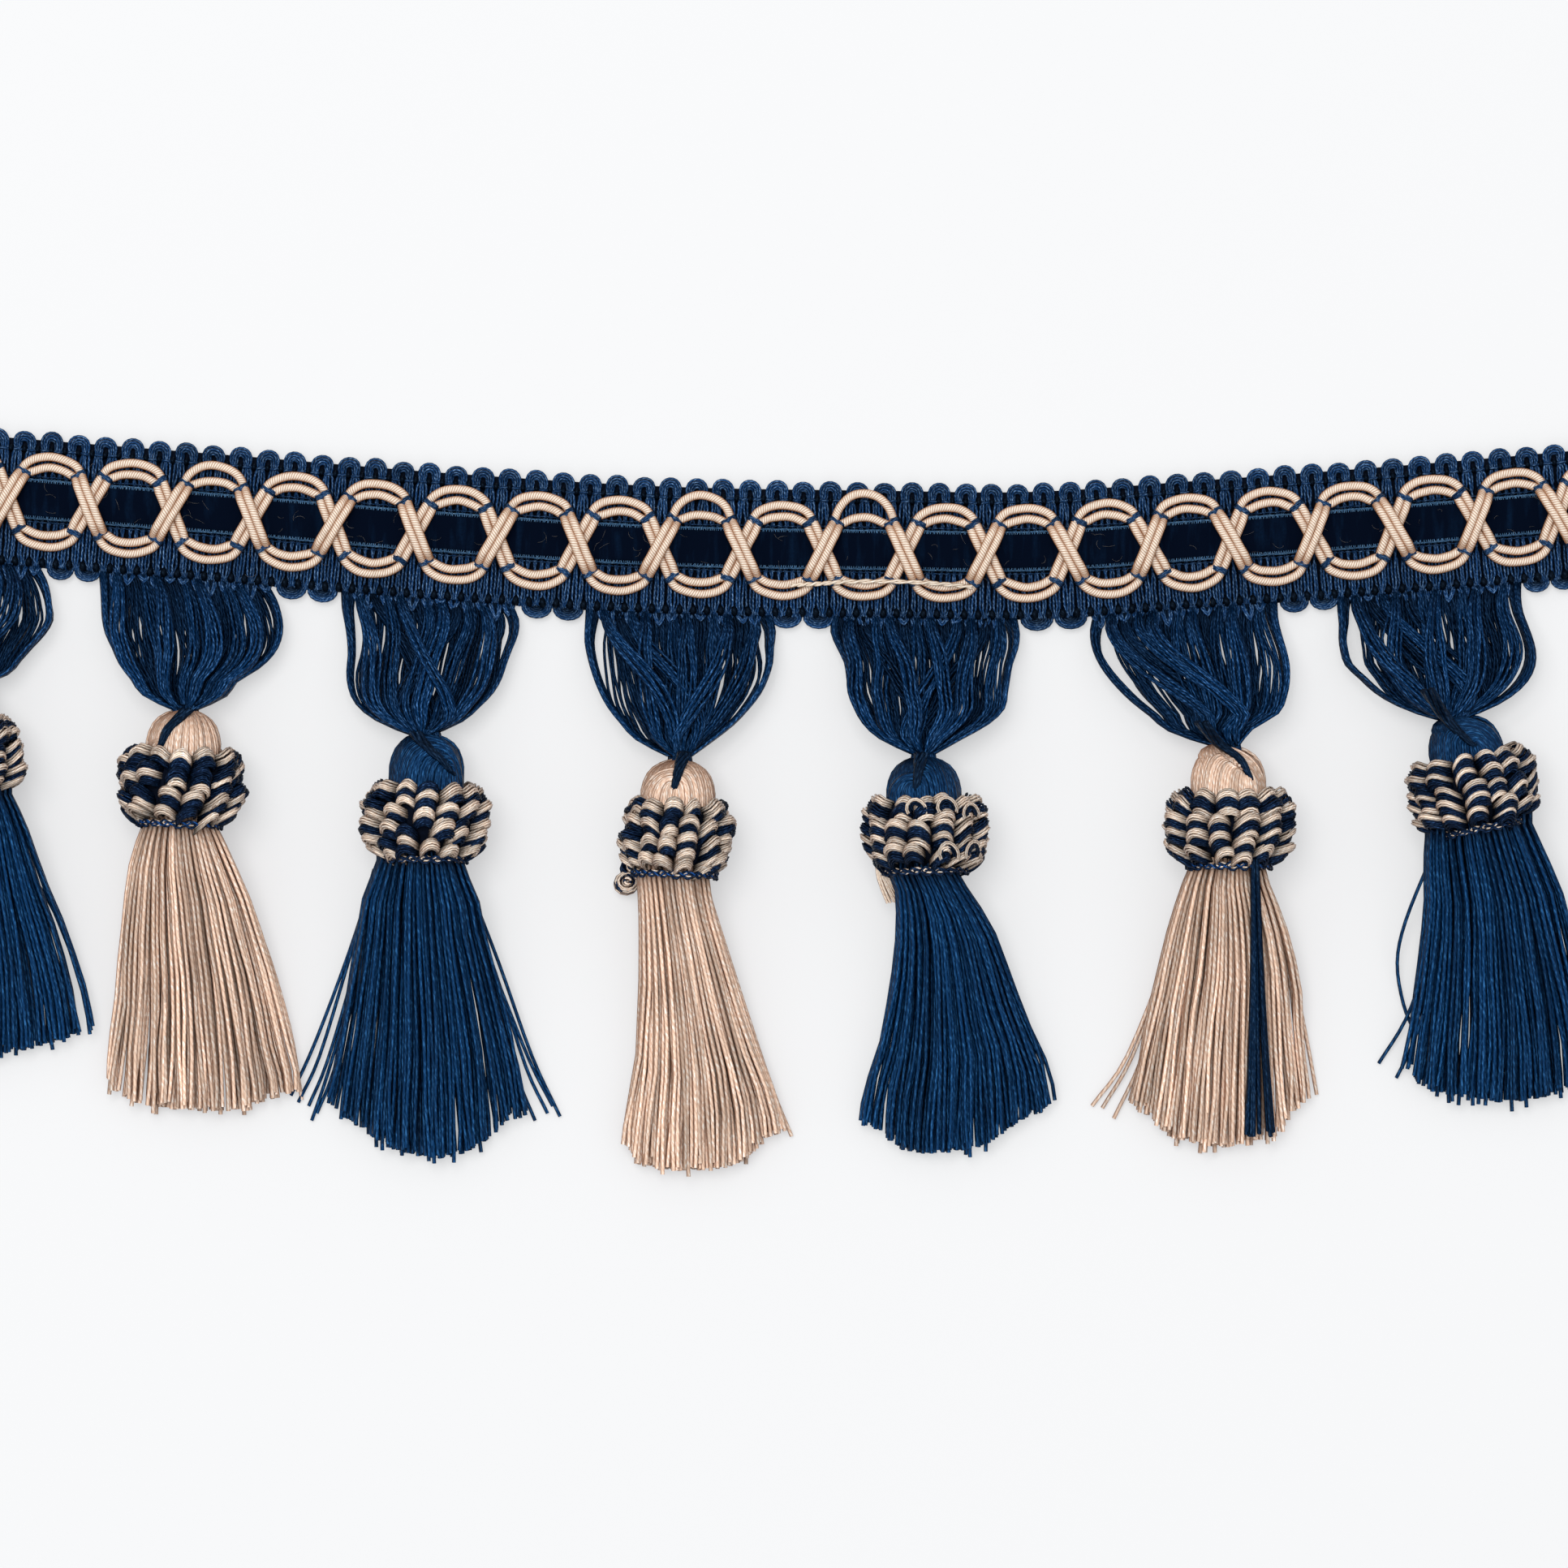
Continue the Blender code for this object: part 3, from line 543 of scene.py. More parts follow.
def mark_strands(mesh, strands, sides):
    """Gives the swept mesh a UV map, round each strand and along it in millimetres, and the strands'
    random shades, their painted shade for lying deep, and their materials. The sweep lists a strand's faces ring
    by ring and then its two caps."""
    corners, shades, depths, dyes = [], [], [], []
    for points, _, shade, dye, deep in strands:
        steps = len(points) - 1
        length = np.concatenate([[0.0], np.cumsum(np.linalg.norm(np.diff(points, axis=0), axis=1))])
        length += 7.3 * shade
        ring, side = np.divmod(np.arange(steps * sides), sides)
        u = np.stack([side, side + 1, side + 1, side], axis=1) / sides
        v = np.stack([length[ring], length[ring], length[ring + 1], length[ring + 1]], axis=1)
        corners.append(np.stack([u, v], axis=2).reshape(-1, 2))
        corners.append(np.tile([0.5, length[0]], (sides, 1)))
        corners.append(np.tile([0.5, length[-1]], (sides, 1)))
        shades.append(np.full((steps + 1) * sides, shade))
        depths.append(np.repeat(deep, sides))
        dyes.append(np.full(steps * sides + 2, dye))
    layer = mesh.uv_layers.new(name="strand")
    layer.data.foreach_set("uv", np.concatenate(corners).ravel())
    for name, values in (("shade", shades), ("deep", depths)):
        tint = mesh.attributes.new(name, "FLOAT", "POINT")
        tint.data.foreach_set("value", np.concatenate(values))
    mesh.polygons.foreach_set("material_index", np.concatenate(dyes).astype(np.int32))
    mesh.polygons.foreach_set("use_smooth", np.ones(len(mesh.polygons), bool))
    mesh.update()


def mesh_from(bm, name):
    """The mesh of a finished form, with smooth faces."""
    mesh = bpy.data.meshes.new(name)
    bm.to_mesh(mesh)
    bm.free()
    mesh.polygons.foreach_set("use_smooth", np.ones(len(mesh.polygons), bool))
    return mesh


def round_body(name, around, up, place):
    """A closed round form, with each point of a unit ball put where place says."""
    bm = bmesh.new()
    bmesh.ops.create_uvsphere(bm, u_segments=around, v_segments=up, radius=1.0)
    for vert in bm.verts:
        vert.co = Vector(place(*vert.co)) * MM
    bmesh.ops.recalc_face_normals(bm, faces=bm.faces)
    return mesh_from(bm, name)


def add_piece(mesh, name, materials, nodes=()):
    """Puts a finished mesh in the scene as a piece of the fringe."""
    obj = bpy.data.objects.new(name, mesh)
    for material in materials:
        obj.data.materials.append(material)
    bpy.context.scene.collection.objects.link(obj)
    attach(obj, "root")
    if nodes:
        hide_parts(*nodes)
    return obj


def add_strands(name, strands, sides, materials, nodes=()):
    """A piece made of many strands, each swept along its own line."""
    curve = bpy.data.curves.new(name, "CURVE")
    curve.dimensions = "3D"
    for points, radii, _, _, _ in strands:
        spline = curve.splines.new("POLY")
        spline.points.add(len(points) - 1)
        places = np.ones((len(points), 4))
        places[:, :3] = points * MM
        spline.points.foreach_set("co", places.ravel())
        spline.points.foreach_set("radius", radii * MM)
    lines = bpy.data.objects.new(name + "_lines", curve)
    bpy.context.scene.collection.objects.link(lines)
    sweep = lines.modifiers.new("sweep", "NODES")
    sweep.node_group = tube_nodes()
    sweep[sweep.node_group.interface.items_tree["Sides"].identifier] = sides
    ready = lines.evaluated_get(bpy.context.evaluated_depsgraph_get())
    mesh = bpy.data.meshes.new_from_object(ready)
    mesh.name = name
    bpy.data.objects.remove(lines)
    bpy.data.curves.remove(curve)
    mark_strands(mesh, strands, sides)
    return add_piece(mesh, name, materials, nodes)


# Materials


def add_node(tree, kind, inputs=None, **settings):
    """A shader node with its settings, and its inputs set or linked."""
    node = tree.nodes.new(kind)
    for key, value in settings.items():
        setattr(node, key, value)
    for key, value in (inputs or {}).items():
        if isinstance(value, bpy.types.NodeSocket):
            tree.links.new(value, node.inputs[key])
        else:
            node.inputs[key].default_value = value
    return node


def maths(tree, operation, a, b=0.0, c=0.0):
    """The result of a sum on values or sockets."""
    node = add_node(tree, "ShaderNodeMath", {0: a, 1: b, 2: c}, operation=operation)
    return node.outputs[0]


def times(tree, a, b):
    return maths(tree, "MULTIPLY", a, b)


def plus(tree, a, b):
    return maths(tree, "ADD", a, b)


def minus(tree, a, b):
    return maths(tree, "SUBTRACT", a, b)


def clamped(tree, value):
    """The value, kept from 0 to 1."""
    return add_node(tree, "ShaderNodeClamp", {0: value}).outputs[0]


def noise(tree, vector, scale, detail=2.0):
    """Cloudy noise over a place."""
    return add_node(tree, "ShaderNodeTexNoise", {"Vector": vector, "Scale": scale, "Detail": detail}).outputs[0]


def object_place(tree):
    return tree.nodes.new("ShaderNodeTexCoord").outputs["Object"]


def facing_up(tree):
    """How far the surface faces up: 1 when level, 0 when upright."""
    normal = tree.nodes.new("ShaderNodeNewGeometry").outputs["Normal"]
    return add_node(tree, "ShaderNodeSeparateXYZ", {0: normal}).outputs[2]


def toned(tree, colour, tone):
    """The colour made darker or lighter by a grey tone."""
    grey = add_node(tree, "ShaderNodeCombineColor", {0: tone, 1: tone, 2: tone}).outputs[0]
    return blend(tree, 1.0, colour, grey, "MULTIPLY")


def new_material(name):
    """A new material, its node tree and its shader."""
    made = bpy.data.materials.new(name)
    made.use_nodes = True
    return made, made.node_tree, made.node_tree.nodes["Principled BSDF"]


def add_bump(tree, shader, strength, distance, height):
    """Relief so many millimetres deep."""
    bump = add_node(tree, "ShaderNodeBump", {"Strength": strength, "Distance": distance * MM, "Height": height})
    tree.links.new(bump.outputs[0], shader.inputs["Normal"])


def blend(tree, amount, a, b, how="MIX"):
    """Mixes two colours."""
    node = tree.nodes.new("ShaderNodeMix")
    node.data_type = "RGBA"
    node.blend_type = how
    for socket, value in ((node.inputs[0], amount), (node.inputs[6], a), (node.inputs[7], b)):
        if isinstance(value, bpy.types.NodeSocket):
            tree.links.new(value, socket)
        elif isinstance(value, float):
            socket.default_value = value
        else:
            socket.default_value = (*value, 1.0)
    return node.outputs[2]


def new_group(name, inputs, outputs):
    """A node group with number sockets, and its input and output nodes."""
    group = bpy.data.node_groups.new(name, "ShaderNodeTree")
    for label, value in inputs:
        socket = group.interface.new_socket(label, in_out="INPUT", socket_type="NodeSocketFloat")
        socket.default_value = value
    for label in outputs:
        group.interface.new_socket(label, in_out="OUTPUT", socket_type="NodeSocketFloat")
    return group, group.nodes.new("NodeGroupInput"), group.nodes.new("NodeGroupOutput")


def twist_group():
    """Twisted plies that run round a strand, with streaks of fibre noise that the yarns use for painted highlights
    and for relief. Side is 0 where the strand's surface faces up and 1 down its sides, the mask of the painted
    shade there; Deep is the painted shade that a strand takes for lying under others."""
    group = bpy.data.node_groups.get("yarn_twist")
    if group:
        return group
    group, start, end = new_group(
        "yarn_twist",
        [("Plies", 2.0), ("Turns", 0.5), ("Fibre", 0.8)],
        ["Ridge", "Streak", "Patch", "Shade", "Deep", "Side"],
    )
    uv = group.nodes.new("ShaderNodeUVMap")
    parts = add_node(group, "ShaderNodeSeparateXYZ", {0: uv.outputs[0]})
    shade = add_node(group, "ShaderNodeAttribute", attribute_name="shade").outputs["Fac"]
    deep = add_node(group, "ShaderNodeAttribute", attribute_name="deep").outputs["Fac"]
    round_it = times(group, parts.outputs[0], start.outputs["Plies"])
    along = times(group, parts.outputs[1], start.outputs["Turns"])
    phase = times(group, plus(group, round_it, along), math.pi)
    turn = times(group, parts.outputs[0], 2 * math.pi)
    place = add_node(group, "ShaderNodeCombineXYZ", {
        0: times(group, maths(group, "SINE", turn), start.outputs["Fibre"]),
        1: times(group, maths(group, "COSINE", turn), start.outputs["Fibre"]),
        2: plus(group, along, times(group, shade, 91.0)),
    })
    for label, value in (
        ("Ridge", maths(group, "ABSOLUTE", maths(group, "SINE", phase))),
        ("Streak", noise(group, place.outputs[0], 1.7)),
        ("Patch", noise(group, object_place(group), 90.0)),
        ("Shade", shade),
        ("Deep", deep),
        ("Side", clamped(group, minus(group, 1.0, facing_up(group)))),
    ):
        group.links.new(value, end.inputs[label])
    return group


def yarn_material(
    name, dye, side, painted_highlight, deep_shade, turns=0.5, depth=0.1, rough=0.5, gloss=0.35, tint=(0.45, 0.65, 1.0),
    lit=1.0, round_off=0.55, cut=0.55,
):
    """A twisted yarn of a dye, with painted shade in the grooves of its twist, down its sides and where it lies
    deep under other yarns, and painted highlights in specks along its top.
    """
    made, tree, shader = new_material(name)
    twist = add_node(tree, "ShaderNodeGroup", node_tree=twist_group())
    twist.inputs["Plies"].default_value = 2.0
    twist.inputs["Turns"].default_value = turns
    ridge = maths(tree, "POWER", twist.outputs["Ridge"], 0.5)
    # Painted shade: the grooves of the twist blend the dye towards the side colour
    groove_shade = times(tree, minus(tree, 1.0, ridge), cut)
    twisted = blend(tree, groove_shade, tuple(dye), side)
    # Painted shade down the strand's sides, where its surface turns away from facing up
    side_shade_mask = maths(tree, "POWER", twist.outputs["Side"], round_off)
    side_shaded = blend(tree, side_shade_mask, twisted, side)
    # Painted highlights: specks along the tops of the plies, fading down the sides
    highlight_mask = clamped(tree, times(tree, minus(tree, twist.outputs["Streak"], 0.5), 6.0))
    highlight_mask = times(tree, times(tree, highlight_mask, ridge), lit)
    fibres = blend(tree, times(tree, highlight_mask, minus(tree, 1.0, side_shade_mask)), side_shaded, painted_highlight)
    tone = plus(tree, times(tree, twist.outputs["Shade"], 0.7), 0.65)
    tone = times(tree, tone, plus(tree, times(tree, twist.outputs["Patch"], 0.6), 0.7))
    # Painted shade where the strand lies deep under others
    base = blend(tree, twist.outputs["Deep"], toned(tree, fibres, tone), deep_shade)
    tree.links.new(base, shader.inputs["Base Color"])
    roughness = minus(tree, rough + 0.1, times(tree, twist.outputs["Ridge"], 0.2))
    tree.links.new(roughness, shader.inputs["Roughness"])
    relief = plus(tree, twist.outputs["Ridge"], times(tree, twist.outputs["Streak"], 0.7))
    add_bump(tree, shader, 0.8, depth, relief)
    shader.inputs["Specular IOR Level"].default_value = gloss
    shader.inputs["Specular Tint"].default_value = (*tint, 1.0)
    return made


def yarn_looks():
    """Each yarn's dye, the colours of its painted shade down its sides and deep down, the colour of its painted
    highlights, and its finish.
    """
    dyes = colours()
    # Colours of painted shade: down the sides of navy yarns, and the near-black of the deepest shade, also down
    # the sides of the darkest threads
    shade_navy, black = page_colour(0, 5, 17), page_colour(0, 2, 6)
    cool, cold, warm = (0.3, 0.55, 1.0), (0.2, 0.45, 1.0), (1.0, 0.9, 0.8)
    # A shaded copy of the navy dye: navy_dark paints the shade of the navy cores under their outer yarns, and also
    # colours the neck ties and the navy lock
    dark = tuple(c * 0.3 for c in dyes.navy)
    pale = page_colour(132, 128, 124)

    def look(dye, side, painted_highlight, deep_shade, **finish):
        return dict(dye=dye, side=side, painted_highlight=painted_highlight, deep_shade=deep_shade, **finish)

    # In each look the second colour is the painted shade down the sides, the third the painted highlight and the
    # fourth the painted shade deep down
    return {
        "navy_wool": look(dyes.navy, shade_navy, page_colour(50, 106, 160), black, gloss=0.22, tint=cool, cut=0.35),
        "navy_loop": look(
            page_colour(4, 46, 88), shade_navy, page_colour(74, 124, 182), black, turns=0.7, gloss=0.22, tint=cold,
        ),
        "navy_dark": look(dark, black, page_colour(40, 66, 96), black, turns=0.6, gloss=0.2, tint=cool),
        "navy_fine": look(
            page_colour(20, 60, 108), shade_navy, page_colour(116, 152, 192), black, turns=1.0, depth=0.08,
            gloss=0.3, tint=cool,
        ),
        "sand_wool": look(
            dyes.sand, page_colour(142, 92, 62), page_colour(255, 250, 242), page_colour(80, 48, 32), turns=0.6,
            depth=0.06, rough=0.6, gloss=0.3, tint=warm, round_off=0.75, cut=0.4,
        ),
        "collar_tan": look(
            dyes.tan, page_colour(122, 78, 52), page_colour(255, 254, 250), page_colour(3, 2, 3), turns=0.9,
            depth=0.08, rough=0.35, gloss=0.8, tint=warm, lit=1.3, round_off=0.85, cut=0.5,
        ),
        "collar_ink": look(dyes.ink, black, page_colour(58, 92, 140), black, turns=0.9, gloss=0.15, tint=cool),
        "stitch_blue": look(page_colour(26, 92, 180), shade_navy, page_colour(60, 140, 230), black, turns=0.9),
        "tooth_thread": look(
            dyes.selvage, page_colour(20, 50, 86), page_colour(150, 190, 220), black, turns=1.5,
        ),
        "stray_ply": look(
            page_colour(240, 226, 208), page_colour(170, 140, 112), page_colour(255, 250, 240), black,
            turns=0.66, tint=warm,
        ),
        "hair": look(pale, pale, pale, pale, gloss=0.1),
    }


def material(name):
    """One of the fringe's materials, made the first time that it is asked for."""
    if name in bpy.data.materials and bpy.data.materials[name].get("fringe"):
        return bpy.data.materials[name]
    others = {"dark_core": core_material, "cord_wrap": wrap_material, "velvet_pile": velvet_material}
    made = others[name]() if name in others else yarn_material(name, **yarn_looks()[name])
    made["fringe"] = True
    return made


def core_material():
    """Yarn deep inside, painted near-black as the shade that shows between the strands."""
    made, tree, shader = new_material("dark_core")
    fluff = noise(tree, object_place(tree), 1500.0)
    dark = blend(tree, fluff, page_colour(0, 4, 12), page_colour(8, 16, 34))
    tree.links.new(dark, shader.inputs["Base Color"])
    shader.inputs["Roughness"].default_value = 0.9
    shader.inputs["Specular IOR Level"].default_value = 0.1
    add_bump(tree, shader, 0.6, 0.2, fluff)
    return made


def wrap_material():
    """Fine thread wound closely round a cord, with painted shade down its sides and in the grooves between its
    turns, and rubbed here and there.
    """
    made, tree, shader = new_material("cord_wrap")
    uv = tree.nodes.new("ShaderNodeUVMap")
    parts = add_node(tree, "ShaderNodeSeparateXYZ", {0: uv.outputs[0]})
    along = plus(tree, times(tree, parts.outputs[1], 2.1), times(tree, parts.outputs[0], 4.0))
    wind = maths(tree, "ABSOLUTE", maths(tree, "SINE", times(tree, along, math.pi)))
    place = object_place(tree)
    rub = noise(tree, place, 320.0, 4.0)
    fine = noise(tree, place, 2600.0)
    # Painted shade down the cord's sides, where its surface turns away from facing up
    side = clamped(tree, times(tree, minus(tree, 0.94, facing_up(tree)), 1.6))
    dye = colours().wrap
    shade_brown = (dye[0] * 0.42, dye[1] * 0.21, dye[2] * 0.1)
    base = blend(tree, side, dye, shade_brown)
    # Painted shade in the grooves between the turns of thread
    lines = blend(tree, times(tree, minus(tree, 1.0, wind), 0.95), base, shade_brown)
    worn = clamped(tree, times(tree, minus(tree, rub, 0.58), 3.2))
    patched = blend(tree, times(tree, worn, 0.5), lines, page_colour(176, 150, 128))
    tone = plus(tree, times(tree, fine, 0.5), 0.78)
    tree.links.new(toned(tree, patched, tone), shader.inputs["Base Color"])
    shader.inputs["Roughness"].default_value = 0.45
    shader.inputs["Specular IOR Level"].default_value = 0.5
    shader.inputs["Specular Tint"].default_value = (1.0, 0.9, 0.8, 1.0)
    add_bump(tree, shader, 0.9, 0.08, wind)
    return made


def velvet_material():
    """Short, nearly black pile, with soft streaks of painted sheen across the ribbon."""
    made, tree, shader = new_material("velvet_pile")
    place = object_place(tree)
    across = add_node(tree, "ShaderNodeMapping", {"Vector": place, "Scale": (1.0, 0.16, 1.0)})
    streak = noise(tree, across.outputs[0], 620.0, 3.0)
    grain = noise(tree, place, 2300.0, 3.0)
    # Painted sheen: the streaks blend the pile towards a lighter blue
    lit = clamped(tree, times(tree, minus(tree, streak, 0.5), 3.0))
    soft = blend(tree, times(tree, lit, grain), colours().velvet, page_colour(14, 38, 66))
    tree.links.new(soft, shader.inputs["Base Color"])
    shader.inputs["Roughness"].default_value = 0.9
    shader.inputs["Specular IOR Level"].default_value = 0.08
    shader.inputs["Specular Tint"].default_value = (0.3, 0.5, 1.0, 1.0)
    add_bump(tree, shader, 0.7, 0.15, plus(tree, streak, times(tree, grain, 0.7)))
    return made


# Heading


def flat_sheet(name, low, high, level, thickness, columns, lines, shape):
    """A sheet of cloth along the heading, with a wall of even thickness."""
    bm = bmesh.new()
    bmesh.ops.create_grid(bm, x_segments=columns, y_segments=lines, size=1.0)
    for vert in bm.verts:
        along = vert.co.x * HEADING_END
        across = low + (high - low) * (vert.co.y + 1) / 2
        vert.co = Vector(on_heading(along, across, level + shape(along, across))) * MM
    bmesh.ops.recalc_face_normals(bm, faces=bm.faces)
    bmesh.ops.solidify(bm, geom=list(bm.faces), thickness=thickness * MM)
    bmesh.ops.recalc_face_normals(bm, faces=bm.faces)
    return mesh_from(bm, name)


def make_heading_ground():
    """The woven ground under the heading's yarns, painted near-black as the shade that shows between them."""
    mesh = flat_sheet(
        "heading_ground", LOWER_ROW - 0.6, ARCH_CENTRE + 0.4, 0.55, 0.3, 260, 6,
        lambda along, across: 0.05 * math.sin(along * 2 * math.pi / LEG_PITCH),
    )
    obj = add_piece(mesh, "heading_ground", [material("dark_core")], ["heading"])


def leg_places():
    """Where the bundles of yarn run across the heading."""
    return [-HEADING_END + (k + 0.5) * LEG_PITCH for k in range(2 * LOOPS)]


def lower_loops():
    """The loops of the lower edge, as (middle, half width), between the spans that feed the tassels."""
    ends = [-HEADING_END]
    for row in rows():
        ends += [row["root_left"], row["root_right"]]
    ends.append(HEADING_END)
    found = []
    for left, right in zip(ends[0::2], ends[1::2]):
        count = max(1, round((right - left) / LOOP_PITCH))
        half = (right - left) / count / 2
        found += [(left + (2 * k + 1) * half, half) for k in range(count)]
    return found


def make_heading_yarns():
    """Bundles of four yarns that run across the heading and turn back in a loop at its upper edge."""
    dice = np.random.default_rng(SEEDS["heading"])
    radius = sizes().heading_yarn / MM / 2
    strands = []
    for loop in range(LOOPS):
        middle = -HEADING_END + (loop + 0.5) * LOOP_PITCH
        tall = dice.uniform(-0.15, 0.2)
        lean = dice.uniform(-0.2, 0.2)
        for reach in ARCH_REACHES:
            inside = reach - BUNDLE_MIDDLE
            jitter = dice.uniform(-0.06, 0.06)

            def leg(side):
                line = []
                for across, spread, part, level in HEADING_STATIONS:
                    pair = math.copysign(0.62, inside) + (abs(inside) - 0.38) * 0.75
                    offset = inside * spread * (1 - part) + pair * part * spread
                    along = middle + side * (LEG_PITCH / 2 + offset) + jitter + dice.uniform(-0.12, 0.12)
                    line.append((along, across, level + dice.uniform(-0.15, 0.15)))
                return line

            arch = []
            for step in range(10):
                turn = math.pi * (1 - step / 9)
                swell = 1.0 + 0.1 * math.sin(turn)
                along = middle + reach * swell * math.cos(turn) + lean * math.sin(turn)
                across = ARCH_CENTRE - 0.35 + (reach * 1.08 + tall) * math.sin(turn)
                arch.append((along, across, 1.2 + 0.55 * math.sin(turn) - 0.25 * (ARCH_REACHES[-1] - reach)))
            line = leg(-1) + arch + leg(1)[::-1]
            points = [on_heading(*place) for place in line if abs(place[0]) < HEADING_END]
            if len(points) > 3:
                # The inner yarns of each loop take a little painted shade
                deep = 0.25 * (reach < 0.8)
                strands.append(strand(points, radius, dice.uniform(0.05, 0.95), 0, deep))
    for middle, half in lower_loops():
        tall = dice.uniform(0.92, 1.1)
        for share, thick, deep in LOWER_RINGS:
            reach = share * (half - radius * 0.8)
            line = []
            for step in range(9):
                turn = math.pi * (1 - step / 8)
                along = middle + reach * (1.0 + 0.08 * math.sin(turn)) * math.cos(turn)
                across = LOWER_ROW - 0.3 - share * (half * 0.5 + 0.8 * tall) * math.sin(turn)
                line.append((along, across, 0.8 + 0.7 * math.sin(turn) + 0.5 * share))
            first, last = line[0], line[-1]
            line = [(first[0], LOWER_ROW + 1.0, 0.9)] + line + [(last[0], LOWER_ROW + 1.0, 0.9)]
            points = [on_heading(*place) for place in line]
            strands.append(strand(points, radius * thick, dice.uniform(0.1, 0.9), 0, deep))
    strands += row_stitches(dice)
    strands += stub_loops(dice, radius)
    dyed = [material("navy_fine"), material("navy_dark")]
    add_strands("heading_yarns", strands, 5, dyed, ["heading"])


def row_stitches(dice):
    """The binding threads, which dip between the bundles and ride over them, and the knots there, painted
    near-black as deep shade.
    """
    made = []
    for across, pitch, high, low, width in (
        (UPPER_ROW + 0.1, LEG_PITCH, 1.35, 0.4, 0.3),
        (RIBBON_HIGH + 0.7, LEG_PITCH / 2, 1.5, 0.7, 0.2),
        (RIBBON_LOW - 0.7, LEG_PITCH / 2, 1.5, 0.7, 0.2),
    ):
        line = []
        for k in range(int(HEADING_LENGTH / pitch)):
            along = -HEADING_END + (k + 0.5) * pitch
            line += [
                on_heading(along - pitch * 0.45, across, low),
                on_heading(along - pitch * 0.22, across + dice.uniform(-0.1, 0.1), high),
                on_heading(along + pitch * 0.22, across + dice.uniform(-0.1, 0.1), high),
            ]
        made.append(strand(line, width, 0.25))
    for k in range(1, 2 * LOOPS):
        along = -HEADING_END + k * LEG_PITCH
        for across, size, level in KNOT_ROWS:
            lean = dice.uniform(-0.12, 0.12)
            line = [
                on_heading(along - lean, across - size * 0.8, level - 0.85),
                on_heading(along, across, level + dice.uniform(-0.1, 0.15)),
                on_heading(along + lean, across + size * 0.8, level - 0.85),
            ]
            # Each knot takes the full painted shade of deep 1, so it shows near-black
            made.append(strand(line, [size * 0.8, size, size * 0.8], dice.uniform(0.0, 0.4), 1, 1.0))
    return made


def stub_loops(dice, radius):
    """Short loops of twisted yarn that dip below the lower row where the tassels' yarn leaves."""
    made = []
    for row in rows():
        for place in leg_places():
            if not row["root_left"] + 1.5 < place < row["root_right"] - 1.5:
                continue
            deep = dice.uniform(1.2, 3.8)
            lean = dice.uniform(-0.5, 0.5)
            for shift in (-0.25, 0.25):
                half = 0.85 + shift
                line = [
                    on_heading(place - half, LOWER_ROW - 0.2, 1.3),
                    on_heading(place - half * 0.8 + lean * 0.4, LOWER_ROW - deep * 0.45, 2.0),
                    on_heading(place + lean, LOWER_ROW - deep - shift, 2.3),
                    on_heading(place + half * 0.8 + lean * 0.6, LOWER_ROW - deep * 0.5, 2.0),
                    on_heading(place + half, LOWER_ROW - 0.2, 1.3),
                ]
                made.append(strand(smooth_line(line, 2), radius * 1.05, dice.uniform(0.5, 1.0)))
    return made


def make_velvet_ribbon():
    """The ribbon along the middle, with its pile rounded down to the edges."""
    half = RIBBON_HALF - 0.1

    def pile(along, across):
        edge = abs(across - RIBBON_RISE) / half
        return 0.25 * (1 - edge**6) + 0.03 * math.sin(along * 2 * math.pi / 0.9)

    mesh = flat_sheet(
        "velvet_ribbon", RIBBON_RISE - half, RIBBON_RISE + half, RIBBON_BOTTOM + 0.5, 0.45, 640, 10, pile
    )
    obj = add_piece(mesh, "velvet_pile", [material("velvet_pile")], ["velvet_ribbon"])
    dice = np.random.default_rng(SEEDS["ribbon"])
    teeth = []
    for side in (-1, 1):
        edge = RIBBON_RISE + side * RIBBON_HALF
        for along in np.arange(-HEADING_END + 0.4, HEADING_END - 0.4, TOOTH_PITCH):
            along += dice.uniform(-0.12, 0.12)
            out = dice.uniform(0.0, 0.45)
            lean = dice.uniform(-0.15, 0.15)
            line = [
                (along, edge - side * 0.45, RIBBON_BOTTOM + 0.55),
                (along + lean, edge, RIBBON_BOTTOM + 0.52),
                (along + 2 * lean, edge + side * out, RIBBON_BOTTOM + 0.1),
            ]
            teeth.append(strand([on_heading(*p) for p in line], [0.1, 0.13, 0.06], dice.uniform(0, 1)))
        for shift, level in ((-0.08, 0.35), (0.12, 0.2)):
            line = [
                on_heading(along, edge + side * shift + dice.uniform(-0.06, 0.06), RIBBON_BOTTOM + level)
                for along in np.arange(-HEADING_END + 0.2, HEADING_END, 1.1)
            ]
            teeth.append(strand(line, 0.14, 0.5))
    add_strands("ribbon_selvage", teeth, 3, [material("tooth_thread")])


# Cords


